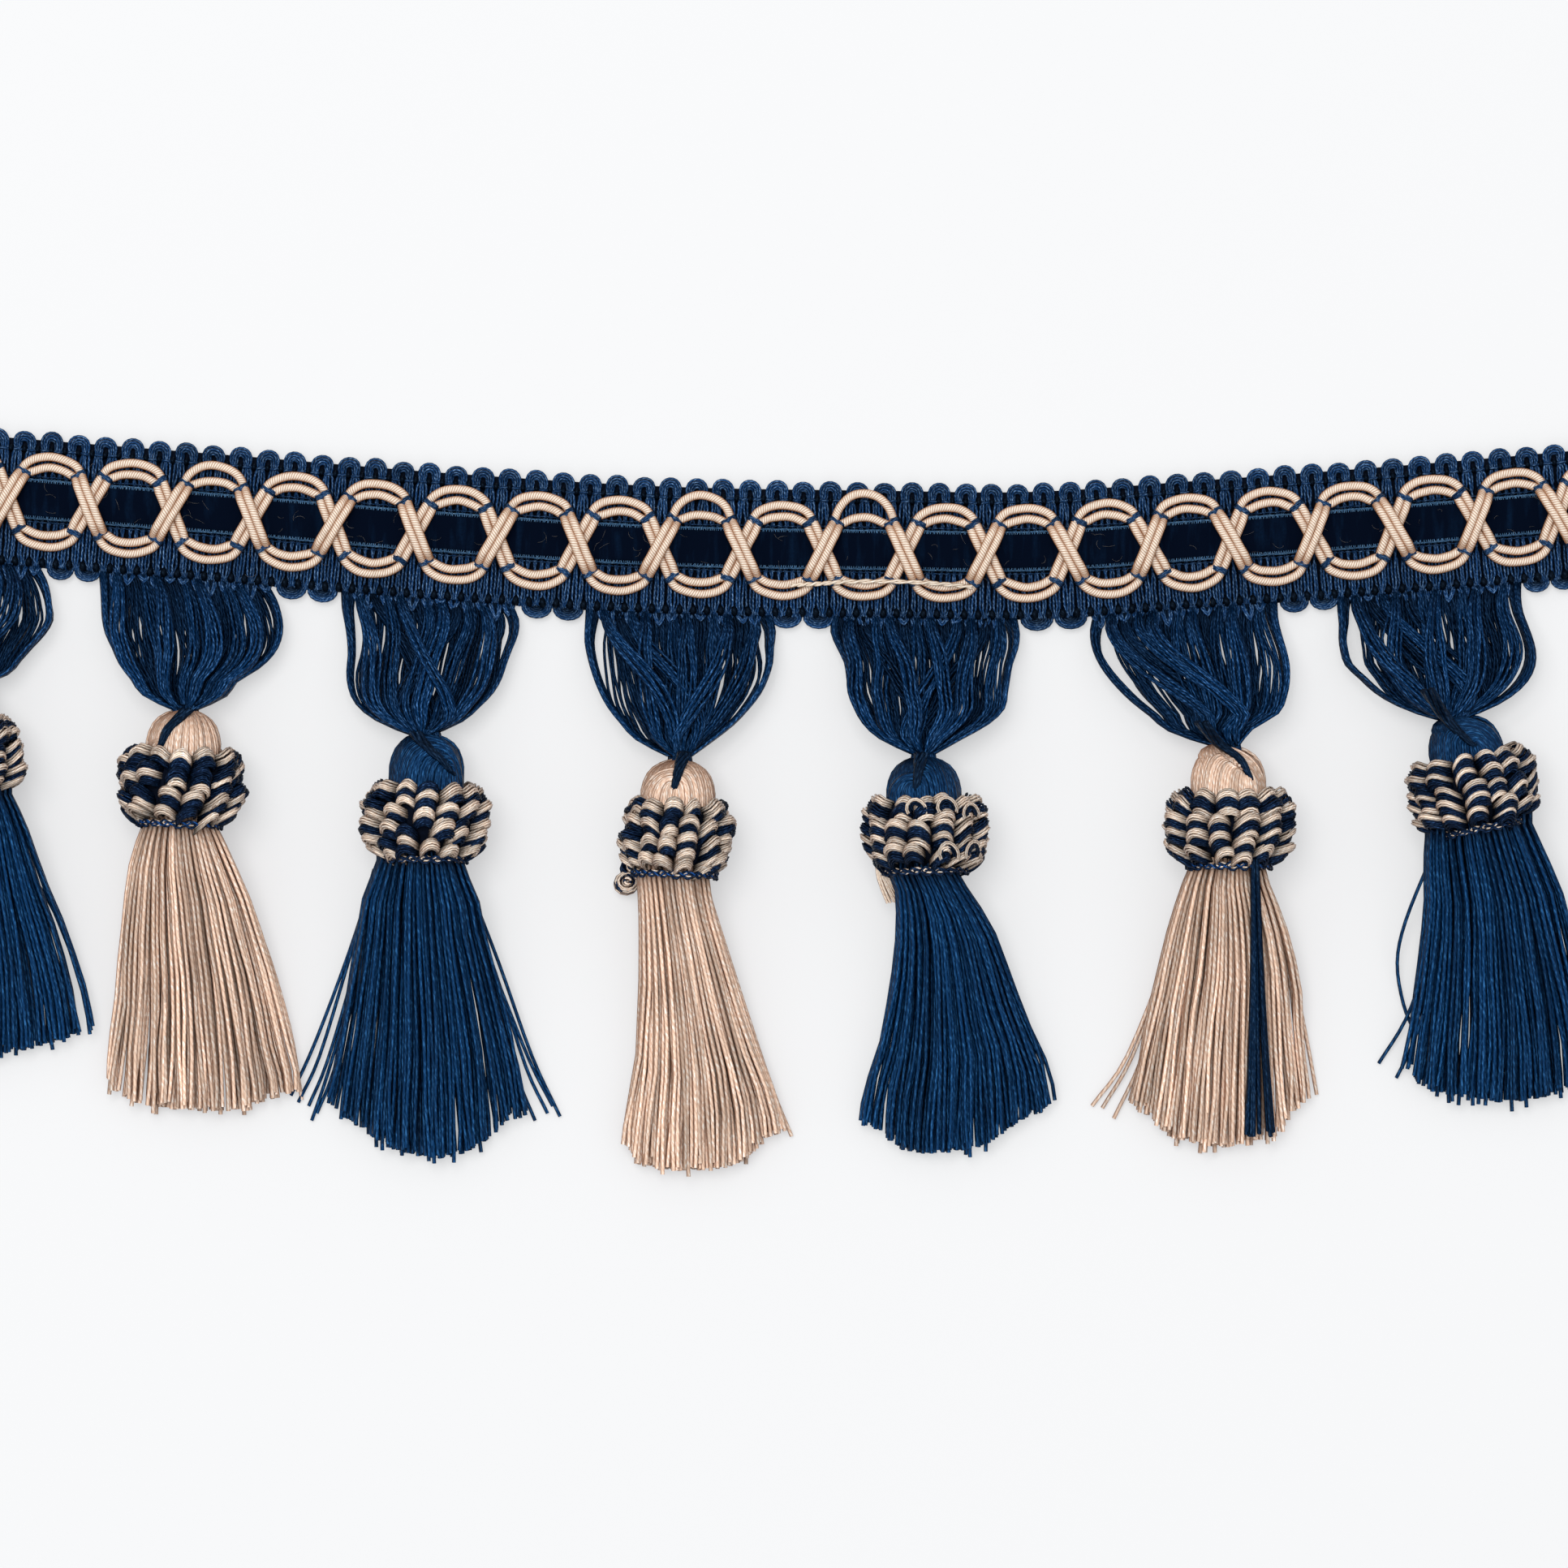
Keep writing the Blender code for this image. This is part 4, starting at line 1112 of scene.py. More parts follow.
def cord_route(upper_first, level, sign):
    """The line of one cord of a pair, as (along, across, level): an arc in each cell, then a leg that
    crosses the heading over the ribbon. sign says on which side of the pair's middle it lies."""
    middle_line, apart, loose = [], [], []
    for cell in range(-1, CELLS + 1):
        side = 1 if (cell % 2 == 0) == upper_first else -1
        middle = FIRST_CROSSING + (cell + 0.5) * CELL
        slack = LOOSE.get(cell, 0.0) if upper_first and sign == 1 else 0.0
        for place in (-1.0, -0.8, -0.45, 0.0, 0.45, 0.8, 1.0):
            arch = (1 - place**2) ** 0.75
            reach = ARC_FOOT + (ARC_TOP - ARC_FOOT) * arch
            middle_line.append((middle + place * ARC_HALF, side * reach + CORD_RISE, CORD_REST))
            apart.append(FOOT_APART + (ARC_APART - FOOT_APART) * min(1.0, 1.6 * arch))
            loose.append(side * slack * arch)
        half_leg = CELL / 2 - ARC_HALF
        for step in (-0.7, -0.35, 0.0, 0.35, 0.7):
            along = middle + CELL / 2 + step * half_leg
            rise = level - (level - CORD_REST) * abs(step) ** 1.5 * 0.5
            middle_line.append((along, -side * step * ARC_FOOT + CORD_RISE, rise))
            apart.append(LEG_APART)
            loose.append(0.0)
    table = np.column_stack([middle_line, apart, loose])
    table = smooth_line(table, 3)
    way = np.gradient(table[:, :2], axis=0)
    way /= np.linalg.norm(way, axis=1)[:, None]
    line = table[:, :3].copy()
    line[:, 0] -= way[:, 1] * table[:, 3] * sign
    line[:, 1] += way[:, 0] * table[:, 3] * sign + table[:, 4]
    return line


def make_cords():
    """The two pairs of wrapped cord that wave across the heading."""
    radius = sizes().cord / MM / 2
    dice = np.random.default_rng(SEEDS["cords"])
    for name, upper_first, level in (("over", True, OVER_LEVEL), ("under", False, UNDER_LEVEL)):
        for side, sign in (("left", 1), ("right", -1)):
            line = cord_route(upper_first, level, sign)
            share = np.linspace(0, 60, len(line))
            line[:, 1] += wander(dice, share, 0.06)
            line[:, 2] += 0.12 * sign
            line = line[np.abs(line[:, 0]) < HEADING_END - 0.3]
            points = np.array([on_heading(*place) for place in line])
            node = f"cord_{name}_{side}"
            add_strands(
                f"wrapped_{name}_{side}", [strand(points, radius, dice.uniform())], 10,
                [material("cord_wrap")], [node],
            )


def make_cord_ties():
    """The navy thread wound round a pair of cords at each bend between an arc and a leg."""
    dice = np.random.default_rng(SEEDS["cord_ties"])
    radius = sizes().cord / MM / 2
    strands = []
    for upper_first in (True, False):
        for cell in range(0, CELLS):
            side = 1 if (cell % 2 == 0) == upper_first else -1
            middle = FIRST_CROSSING + (cell + 0.5) * CELL
            for end in (-1, 1):
                along, across = middle + end * (ARC_HALF + 0.05), side * (ARC_FOOT + 0.1) + CORD_RISE
                if abs(along) > HEADING_END - 2:
                    continue
                slant = math.radians(57 + dice.uniform(-9, 9)) * -end * side
                way = np.array([math.cos(slant), math.sin(slant)])
                square = np.array([-way[1], way[0]])
                line = []
                for step in range(TIE_TURNS * TIE_STEPS + 1):
                    turn = step / TIE_STEPS * 2 * math.pi
                    shift = (step / (TIE_TURNS * TIE_STEPS) - 0.5) * 0.95 + dice.uniform(-0.08, 0.08)
                    wide = (FOOT_APART + radius + 0.12) * math.sin(turn)
                    place = np.array([along, across]) + way * shift + square * wide
                    rise = CORD_REST + 0.1 + (radius + 0.2) * math.cos(turn)
                    line.append(on_heading(place[0], place[1], rise))
                strands.append(strand(line, 0.19, dice.uniform(0.1, 0.7)))
    add_strands("cord_ties", strands, 4, [material("navy_fine")])


# Hangers


def make_hangers():
    """The heading's yarn, let down in long loops and gathered in each tassel's neck."""
    radius = sizes().hanger_yarn / MM / 2
    per_bundle = sizes().bundle_yarns
    share = np.linspace(0, 1, 10)
    arch_form = np.sin(share**0.8 * math.pi) ** 0.8
    for number, (row, sides) in enumerate(zip(rows(), HANGER_SIDES), 1):
        dice = np.random.default_rng(SEEDS["hangers"] + number)
        roots = [x for x in leg_places() if row["root_left"] < x < row["root_right"]]
        sides = smooth_line(sides, 3)
        heights = -sides[:, 0]
        low = -heights[-1]
        neck = np.array([row["top_x"], row["top_y"] + 1.0, NECK_RISE])
        strands = []
        bundles = [(j, x, (1, 2, 0)[j % 3]) for j, x in enumerate(roots)]
        bundles += [(j + 0.5, (a + b) / 2, 0) for j, (a, b) in enumerate(zip(roots, roots[1:]))]
        for j, place, over in bundles:
            h = -1 + 2 * (j + 0.5) / len(roots)
            goal = SWEEPS.get(number - 1, {}).get(j, h + dice.uniform(-0.22, 0.22))
            goal = min(max(goal, -1.0), 1.0)
            pull = dice.uniform(0.9, 1.6)
            arch = (0.3, 2.2, 4.2)[over] * dice.uniform(0.85, 1.15) + (1.6 if abs(goal - h) > 0.5 else 0.0)
            sway = dice.uniform(-0.07, 0.07)
            # Painted shade: bundles of the lower layers are painted darker
            layer_shade = (0.6, 0.15, 0.0)[over] + dice.uniform(0.0, 0.15)
            for yarn in range(per_bundle):
                part = yarn - (per_bundle - 1) / 2
                root = np.array(on_heading(place + part * 0.18, LOWER_ROW - 0.45, 1.2 + 0.25 * (yarn % 2)))
                y = root[1] + (low - root[1]) * share
                left, right = (np.interp(-y, heights, sides[:, side]) for side in (1, 2))
                across = h + (goal - h) * share**pull + sway * np.sin(share * math.pi)
                across = across + part * 0.0245 * np.minimum(1.0, 0.45 + 5 * share) * (1 + 0.5 * share)
                across += wander(dice, share, 0.014) * np.sin(share * math.pi)
                edge = np.tanh(across * 1.9) / np.tanh(1.9) if abs(h) > 0.8 else across
                x = left + (right - left) * (np.clip(edge, -1.02, 1.02) + 1) / 2
                x = x + (root[0] - x) * (1 - share) ** 5
                z = root[2] + (NECK_RISE + (over - 1) * 1.1 - root[2]) * share**1.4
                z = z + arch * arch_form + wander(dice, share, 0.2) + 0.3 * (yarn % 2)
                z = np.maximum(z, radius + 0.05)
                line = np.stack(seen(x, y, z), axis=1)
                line += (root - line[0]) * ((1 - share) ** 3)[:, None]
                rise = (over - 1) * 1.2 + dice.uniform(-0.4, 0.4)
                pinch = neck + np.array([goal * 1.7 + part * 0.13, -0.4, rise])
                foot = neck + np.array([goal * 1.9 + part * 0.15, -2.6, (over - 1) * 1.3])
                line = smooth_line(np.vstack([line, pinch, foot]), 2)
                reach = np.linspace(0, 1, len(line))
                # Painted shade along the yarn: darker at the root under the heading and at the neck, over its
                # layer's shade
                deep = layer_shade + 0.35 * (1 - reach * 9).clip(0, 1) + 0.55 * (1 - (1 - reach) * 6).clip(0, 1)
                strands.append(strand(line, radius, dice.uniform(0.0, 1.0), 0, np.minimum(deep, 1.0)))
        add_strands(f"loops_{number}", strands, 5, [material("navy_loop")], [f"hanger_{number}"])


def ruff_start(row):
    """Where a tassel's collar begins, below its top: a longer waist carries it lower."""
    return RUFF_START + (PLAIN_WAIST - row["waist"]) * 0.9


def dome_radius(y):
    """How wide the head is at a place below its top."""
    return between(HEAD_RINGS, y)


# Tassels


def put(row, points):
    """Carries points from a tassel's own frame to the fringe's."""
    points = np.asarray(points, float)
    turn = math.radians(row["turn"])
    cos, sin = math.cos(turn), math.sin(turn)
    x = row["top_x"] + points[:, 0] * cos - points[:, 1] * sin
    y = row["top_y"] + points[:, 0] * sin + points[:, 1] * cos
    return np.stack([x, y, points[:, 2]], axis=1)


def head_strands(row, way, radius, dice):
    """Yarns that arch out from the cleft that the neck tie draws into the head, and over its dome."""
    count = sizes().head_yarns
    made = []
    cleft = [put_back(row, *seen(x, y, HEAD_LEVEL)) for x, y in way]
    top, dive = cleft[0], cleft[-1]
    side_x = dome_radius(-6.0)
    end = ruff_start(row) - 1.6
    for k in range(count // 2):
        u = -1 + 2 * (k + dice.uniform(0.25, 0.75)) / (count // 2)
        foot = side_x * math.sin(u * math.pi / 2 * 0.99)
        offset = foot - dive[0]
        room = side_x - math.copysign(dive[0], offset)
        near = min(1.0, abs(offset) / max(room, 1.0))
        height = -0.25 + (dive[1] + 0.2) * (1 - near) ** 0.8
        start = dive[0] + (top[0] * 0.5 - dive[0]) * near**1.2 + math.copysign(0.35, offset)
        rise = height + 1.1 * (1 - near)
        line = bezier(
            (start, height, 0), (start + (foot - start) * 0.55, rise, 0), (foot, rise - 0.9 - 2.2 * near, 0),
            (foot, end, 0), 9,
        )
        x, y = line[:, 0], np.minimum(line[:, 1], -0.15)
        reach = dome_radius(y)
        x = np.clip(x, -reach * 0.995, reach * 0.995)
        level = between(AXIS_RISE, y) + np.sqrt(np.maximum(reach**2 - x**2, 0.0)) * HEAD_FLAT
        level += dice.uniform(-0.2, 0.15)
        points = put(row, np.stack([x, y, level], axis=1))
        made.append(strand(points, radius, dice.uniform(0.15, 0.85)))
    y = np.array([-0.2, -0.5, -1.1, -2.0, -3.2, -4.8, -6.4, end])
    rounds = count - count // 2
    for k in range(2 * rounds):
        turn = math.pi * (k + 0.5) / rounds
        front = math.sin(turn) > 0.1
        reach = dome_radius(y) - (0.34 if front else 0.0)
        level = between(AXIS_RISE, y) + math.sin(turn) * reach * HEAD_FLAT
        # The yarns that lie under the arched ones start from the tie's side of the dome; those in front take a
        # little painted shade
        drawn = top[0] * 0.5 * np.interp(y, [-3.0, 0.0], [0.0, 1.0]) * front
        points = np.stack([math.cos(turn) * reach + drawn, y, level], axis=1)
        made.append(strand(put(row, points), radius, dice.uniform(0.1, 0.8), 0, 0.1 * front))
    return made


def put_back(row, x, y, z):
    """Carries a point from the fringe's frame to a tassel's own."""
    turn = math.radians(-row["turn"])
    x, y = x - row["top_x"], y - row["top_y"]
    return x * math.cos(turn) - y * math.sin(turn), x * math.sin(turn) + y * math.cos(turn), z


def skirt_strands(row, sides, tips, radius, dice):
    """Yarns that fan out from the waist, in clumps, and end cut on the table."""
    count = sizes().skirt_yarns
    share = np.array([-0.06, 0.0, 0.07, 0.16, 0.27, 0.4, 0.54, 0.68, 0.82, 0.93, 1.0])
    half = between([(s, h) for s, h, _ in SKIRT_STATIONS], share)
    clear = between([(s, c) for s, _, c in SKIRT_STATIONS], share)
    depths = [s * row["skirt"] for s, _, _ in sides]
    waist = put(row, [(0.0, -row["waist"], 0.0)])[0]
    sway = {(c, l): dice.uniform(-0.035, 0.035) for c in range(SKIRT_CLUMPS + 3) for l in range(4)}
    made = []
    for k in range(count):
        r, turn = math.sqrt((k + 0.5) / count), k * GOLDEN_TURN
        p, q = r * math.cos(turn), r * math.sin(turn)
        layer = min(3, int((q + 1) * 2))
        clump = int((p + 1) / 2 * SKIRT_CLUMPS + 0.37 * layer)
        centre = (clump + 0.5 - 0.37 * layer) / SKIRT_CLUMPS * 2 - 1
        gathered = p + (centre - p) * 0.28 + sway[clump, layer] + dice.normal(0, 0.018)
        wide = p + (gathered - p) * share.clip(0, 1)
        if abs(p) > 0.6:
            wide = wide + math.copysign(0.03, p) * share.clip(0, 1)
        tip = np.interp((wide[-1] + 1) / 2 * (len(tips) - 1), range(len(tips)), tips)
        tip += abs(dice.normal(0, 0.8)) - (dice.uniform(0, 2.0) if dice.uniform() > 0.92 else 0.0)
        y = waist[1] + (tip - waist[1]) * share
        left, right = (np.interp(waist[1] - y, depths, [item[side] for item in sides]) for side in (1, 2))
        x = left + (right - left) * (np.clip(wide, -1, 1) + 1) / 2
        x += wander(dice, share, 0.3) * share.clip(0, 1)
        y += math.sin(math.radians(row["turn"])) * p * WAIST_RADIUS * (1 - share.clip(0, 1))
        z = clear + half * (1 + q * 0.9) + wander(dice, share, 0.25) * share
        z = np.maximum(z, radius)
        line = np.stack(seen(x, y, z), axis=1)
        # Painted shade: darker on the lower yarns of the skirt and on every yarn near the waist
        deep = 0.45 * max(0.0, -q) + 0.6 * (1 - share * 12).clip(0, 1)
        made.append(strand(line, radius, dice.uniform(0.0, 1.0), 0, np.minimum(deep, 1.0)))
    return made


def make_tassels():
    """Each tassel's head and skirt of yarn, and what fills them."""
    everything = zip(rows(), SKIRT_SIDES, SKIRT_TIPS, TIE_WAYS)
    for number, (row, sides, tips, way) in enumerate(everything, 1):
        dice = np.random.default_rng(SEEDS["tassels"] + number)
        navy = row["colour"] == NAVY
        radius = (sizes().navy_yarn if navy else sizes().sand_yarn) / MM / 2
        strands = head_strands(row, way, sizes().head_yarn / MM / 2, dice)
        strands += skirt_strands(row, sides, tips, radius, dice)
        dyed = material("navy_wool" if navy else "sand_wool")
        slot = "navy_yarn" if navy else "sand_yarn"
        add_strands(f"hank_{number}", strands, 5, [dyed], [f"tassel_{number}"])
        make_core(number, row, slot)


def make_core(number, row, slot):
    """What fills the head and the waist under their outer yarns."""
    length = row["waist"] + 1.0

    def place(x, y, z):
        down = -1.0 + (z - 1) / 2 * length
        angle = math.atan2(y, x)
        level = float(between(AXIS_RISE, down))
        reach = min(CORE_RADIUS * math.sqrt(max(0.0, 1 - z * z)) ** 0.5, float(dome_radius(down)) - 0.25)
        return put(row, [(math.cos(angle) * reach, down, level + math.sin(angle) * reach * 0.88)])[0]

    mesh = round_body(f"core_{number}", 20, 12, place)
    # The navy cores take navy_dark, a darkened navy that paints the shade under the outer yarns
    dyed = material("sand_wool" if slot == "sand_yarn" else "navy_dark")
    layer = mesh.uv_layers.new(name="strand")
    layer.data.foreach_set("uv", np.zeros(2 * len(mesh.loops)))
    add_piece(mesh, f"core_{number}", [dyed])


def make_collars():
    """Collars: columns of arched rolls, tan and navy in turn, each roll wound of fine threads."""
    radius = sizes().collar_thread / MM / 2
    columns = sizes().collar_columns
    s = np.linspace(-1, 1, 8)
    arc = np.cos(s * math.pi / 2)
    circle = 2.7 * (1 - np.sqrt(1 - (0.97 * s) ** 2)) + 1.0 * s**4
    # Painted shade at both ends of each roll, where the columns meet
    foot_shade = np.clip((np.abs(s) - 0.62) / 0.34, 0, 1) ** 1.2
    for number, (row, (tan, navy, slant)) in enumerate(zip(rows(), COLLAR_ROLLS), 1):
        dice = np.random.default_rng(SEEDS["collars"] + number)
        start, end = ruff_start(row), RUFF_END - row["waist"]
        length = end - start
        tiers = 4 if number in FOUR_TIERS else 3
        strands = []
        for column in range(columns):
            centre = 2 * math.pi * (column + 0.5) / columns + dice.uniform(-0.04, 0.04)
            lean = dice.uniform(-0.1, 0.1)
            tier = -length / tiers
            place, next_tier, count_tier = dice.uniform(0.2, 0.9), -9.0, 0
            light = bool(dice.integers(0, 2))
            while place < -length - 1.3:
                if place >= next_tier:
                    count_tier += 1
                    next_tier = count_tier * tier + dice.uniform(-0.5, 0.5)
                    shift = dice.uniform(-0.09, 0.09) + slant * (count_tier / tiers - 0.6)
                    proud, broad = dice.uniform(-0.5, 0.9), dice.uniform(0.92, 1.15)
                    tilt = 0.2 + dice.uniform(-0.8, 0.8)
                    light = dice.uniform() < 0.8
                    place += 0.15
                thick = (tan if light else navy) * dice.uniform(0.78, 1.22)
                middle = place + thick / 2
                if number == 2 and light and 0.25 < middle / -length < 0.62 and dice.uniform() < 0.6:
                    light = False
                lift = dice.uniform(1.3, 2.1)
                sunk = dice.uniform(-0.2, 0.25) + 0.5 * (place + thick > next_tier)
                count = max(3, round(thick * 1.5 / 0.48))
                for thread in range(count):
                    around = (thread + 0.5) / count * 2 - 1
                    bulge = math.cos(around * 1.3)
                    y = start - middle - math.sin(around * 1.3) * thick * 0.52
                    y = y + lift * (arc - 0.6) - tilt * s + dice.uniform(-0.07, 0.07)
                    part = np.clip((y - start) / length, 0, 1)
                    grow = between(RUFF_PROFILE, part)
                    turn = centre + lean * (part - 0.5) + shift + s * math.pi / columns * broad
                    tuck = circle + (1 - bulge) * thick * 0.75 - proud * (1 - s**2) + sunk
                    tuck = tuck + dice.uniform(-0.1, 0.1)
                    wide, tall = row["collar"] * grow - tuck, RUFF_HALF_HEIGHT * grow - tuck
                    z = np.maximum(between(AXIS_RISE, y) + np.sin(turn) * tall, radius)
                    points = np.stack([np.cos(turn) * wide, y, z], axis=1)
                    # Painted shade at the roll's ends and on the threads round its edges
                    deep = np.minimum(1.0, foot_shade + 0.75 * (1 - bulge) ** 1.3)
                    size = radius * dice.uniform(0.9, 1.1)
                    strands.append(strand(put(row, points), size, dice.uniform(0.0, 1.0), int(light), deep))
                place += thick * 0.95
                light = not light
        strands += hem_chain(row, end, dice, number in BLUE_TIED)
        strands += open_loops(row, OPEN_LOOPS.get(number, ()), radius, dice)
        collar = [material("collar_ink"), material("collar_tan"), material("stitch_blue")]
        add_strands(f"collar_{number}", strands, 4, collar, [f"ruff_{number}"])
        make_collar_core(number, row, end)


def open_loops(row, places, radius, dice):
    """Tan loops of a collar that stand open like small eyes: across, below the collar's start, half
    width and half height."""
    made = []
    turn = np.linspace(-0.2 * math.pi, 1.2 * math.pi, 10)
    for across, below, half, tall in places:
        lean = dice.uniform(-0.25, 0.25)
        for ring in (1.0, 0.84, 0.62, 0.42):
            x = across + half * ring * np.cos(turn) * (1.0 - 0.15 * np.sin(turn)) + lean * np.sin(turn)
            y = ruff_start(row) - below + tall * ring * np.sin(turn)
            reach = np.sqrt(np.maximum(1 - (x / row["collar"]) ** 2, 0.05))
            level = between(AXIS_RISE, y) + RUFF_HALF_HEIGHT * reach + 0.15 - 0.4 * (1 - ring)
            points = put(row, np.stack([x, y, level], axis=1))
            # Painted shade on the inner rings and low on each loop
            deep = 0.12 + 0.3 * (ring < 0.7) + 0.5 * (1 - np.sin(turn)).clip(0, 1) ** 2 * 0.5
            shade = dice.uniform(0.0, 0.7)
            made.append(strand(points, radius * 0.8, shade, int(ring > 0.7), np.minimum(deep, 1.0)))
    return made


def make_collar_ends():
    """Bits of two collars that came undone: a small loop and a frayed end."""
    dice = np.random.default_rng(SEEDS["collar_ends"])
    radius = sizes().collar_thread / MM / 2
    turn = np.linspace(0.3, 2 * math.pi + 0.2, 12)
    strands = []
    for middle, down, wide, tan_share, count in COILS:
        for k in range(count):
            reach, across = wide * dice.uniform(0.25, 1.0), dice.uniform(-1.0, 1.0)
            x = middle + reach * 1.1 * np.cos(turn) + 0.2 * across
            y = down + reach * 0.95 * np.sin(turn) + 0.4 * across
            level = 3.6 + across + 0.25 * np.sin(turn * 2 + k)
            dye = int(dice.uniform() < tan_share)
            strands.append(strand(np.stack([x, y, level], axis=1), radius, dice.uniform(), dye))
    for k in range(6):
        part = (k - 2.5) * 0.3
        line = bezier(
            (-17.0, -61.8, 3.2), (-16.4, -60.6 + part, 4.6), (-15.6, -60.0 + part, 6.0), (-13.6, -59.6, 7.4), 6,
        )
        strands.append(strand(line, radius, dice.uniform(), int(k % 3 == 1)))
    for k in range(34):
        fan = dice.uniform(-1, 1)
        line = bezier(
            (30.4 + 0.5 * fan, -58.6, 9.6), (29.8 + fan * 0.9, -62.0, 9.8),
            (31.2 + fan * 1.3, -64.8, 8.4), (33.0 + fan * 1.5, -67.6 + dice.uniform(-0.9, 0.9), 6.4), 8,
        )
        strands.append(strand(line, radius * 0.75, dice.uniform(0.4, 1.0), 1))
    add_strands("collar_ends", strands, 4, [material("collar_ink"), material("collar_tan")])


def make_hairs():
    """Fine pale fibres that cling to the ribbon and the cords."""
    dice = np.random.default_rng(SEEDS["hairs"])
    strands = []
    for _ in range(HAIRS):
        along = dice.uniform(-HEADING_END + 3, HEADING_END - 3)
        across = dice.normal(RIBBON_RISE, 4.0)
        heading, bend = dice.uniform(0, 2 * math.pi), dice.uniform(-1.6, 1.6)
        reach = dice.uniform(0.8, 2.4)
        level = 3.2 if abs(across - RIBBON_RISE) < 3 else 4.2
        line = []
        for step in np.linspace(0, 1, 6):
            angle = heading + bend * step
            place = along + reach * step * math.cos(angle), across + reach * step * math.sin(angle)
            line.append(on_heading(*place, level + 0.5 * math.sin(step * math.pi)))
        strands.append(strand(line, 0.02, dice.uniform(0.4, 1.0)))
    add_strands("hairs", strands, 3, [material("hair")])


def round_waist(row, angle, y, out):
    """A line round a tassel's waist, flattened and kept above the table."""
    z = np.maximum(between(AXIS_RISE, y) + np.sin(angle) * out * 0.86, 0.3)
    return put(row, np.stack([np.cos(angle) * out, y, z], axis=1))


def hem_chain(row, end, dice, blue):
    """The row of small knots that ties a collar off round the top of the skirt."""
    made = []
    reach = WAIST_RADIUS + 0.75
    for k in range(HEM_KNOTS):
        middle = 2 * math.pi * k / HEM_KNOTS
        turn = np.linspace(0, 2 * math.pi, 8)
        angle = middle + np.cos(turn) * 0.13
        y = end - 0.3 + np.sin(turn) * 0.42 + dice.uniform(-0.15, 0.15)
        out = reach + 0.15 * np.sin(turn * 2)
        made.append(strand(round_waist(row, angle, y, out), 0.24, dice.uniform(), 1))
    angle = np.linspace(0, 2 * math.pi, HEM_KNOTS * 4 + 1)
    for phase, dye, size, lower in ((0.0, 0, 0.3, 0.1), (2.0, 2 if blue else 0, 0.2, 0.35), (4.0, 0, 0.28, 0.8)):
        y = end - lower + 0.35 * np.sin(angle * HEM_KNOTS + phase) + 0.15 * np.sin(angle * 5 + phase)
        out = reach + 0.25 + 0.2 * np.cos(angle * HEM_KNOTS + phase)
        made.append(strand(round_waist(row, angle, y, out), size, 0.6, dye))
    return made


def make_collar_core(number, row, end):
    """The bed that the collar's loops stand on, painted near-black as the shade deep between them."""
    start = ruff_start(row)
    middle, half = (start + end) / 2, (start - end) / 2 - 0.4

    def place(x, y, z):
        down = middle + half * z
        wide = max(0.0, 1 - z * z) ** 0.22
        angle = math.atan2(y, x)
        level = float(between(AXIS_RISE, down))
        height = level + math.sin(angle) * (RUFF_HALF_HEIGHT - BED_INSET) * wide
        return put(row, [(math.cos(angle) * (row["collar"] - BED_INSET) * wide, down, max(height, 0.2))])[0]

    mesh = round_body(f"collar_bed_{number}", 28, 12, place)
    add_piece(mesh, f"collar_bed_{number}", [material("dark_core")])


def make_neck_ties():
    """The short navy cord that binds the loops to the tassel, over the neck and into the head."""
    for number, (row, way) in enumerate(zip(rows(), TIE_WAYS), 1):
        dice = np.random.default_rng(SEEDS["neck_ties"] + number)
        flat = smooth_line([(x, y, 0.0) for x, y in way], 4)
        line = []
        for x, y, _ in flat:
            px, py, _ = put_back(row, *seen(x, y, HEAD_LEVEL))
            reach = float(dome_radius(min(py, -0.3)))
            on_dome = float(between(AXIS_RISE, py)) + math.sqrt(max(reach**2 - px**2, 1.0)) * HEAD_FLAT
            line.append((px, py, max(on_dome, 10.4 + 0.9 * max(0.0, 1 + py)) + 0.6))
        line = np.array(line)
        line[:, 2] = np.convolve(np.pad(line[:, 2], 2, mode="edge"), np.ones(5) / 5, mode="valid")
        share = np.linspace(0, 1, len(line))
        line[-1, 2] -= 0.8
        strands = []
        for yarn in range(6):
            turn = yarn * math.pi / 3
            tight = np.interp(share, [0, 0.35, 1], [1.0, 0.8, 0.3])
            part = line.copy()
            part[:, 0] += np.cos(turn + share * 3) * tight
            part[:, 2] += np.sin(turn + share * 3) * tight * 0.55
            size = np.interp(share, [0, 0.6, 1], [0.5, 0.48, 0.34])
            strands.append(strand(put(row, part), size, dice.uniform(0.0, 0.5)))
        add_strands(f"neck_tie_{number}", strands, 5, [material("navy_dark")], [f"tie_{number}"])


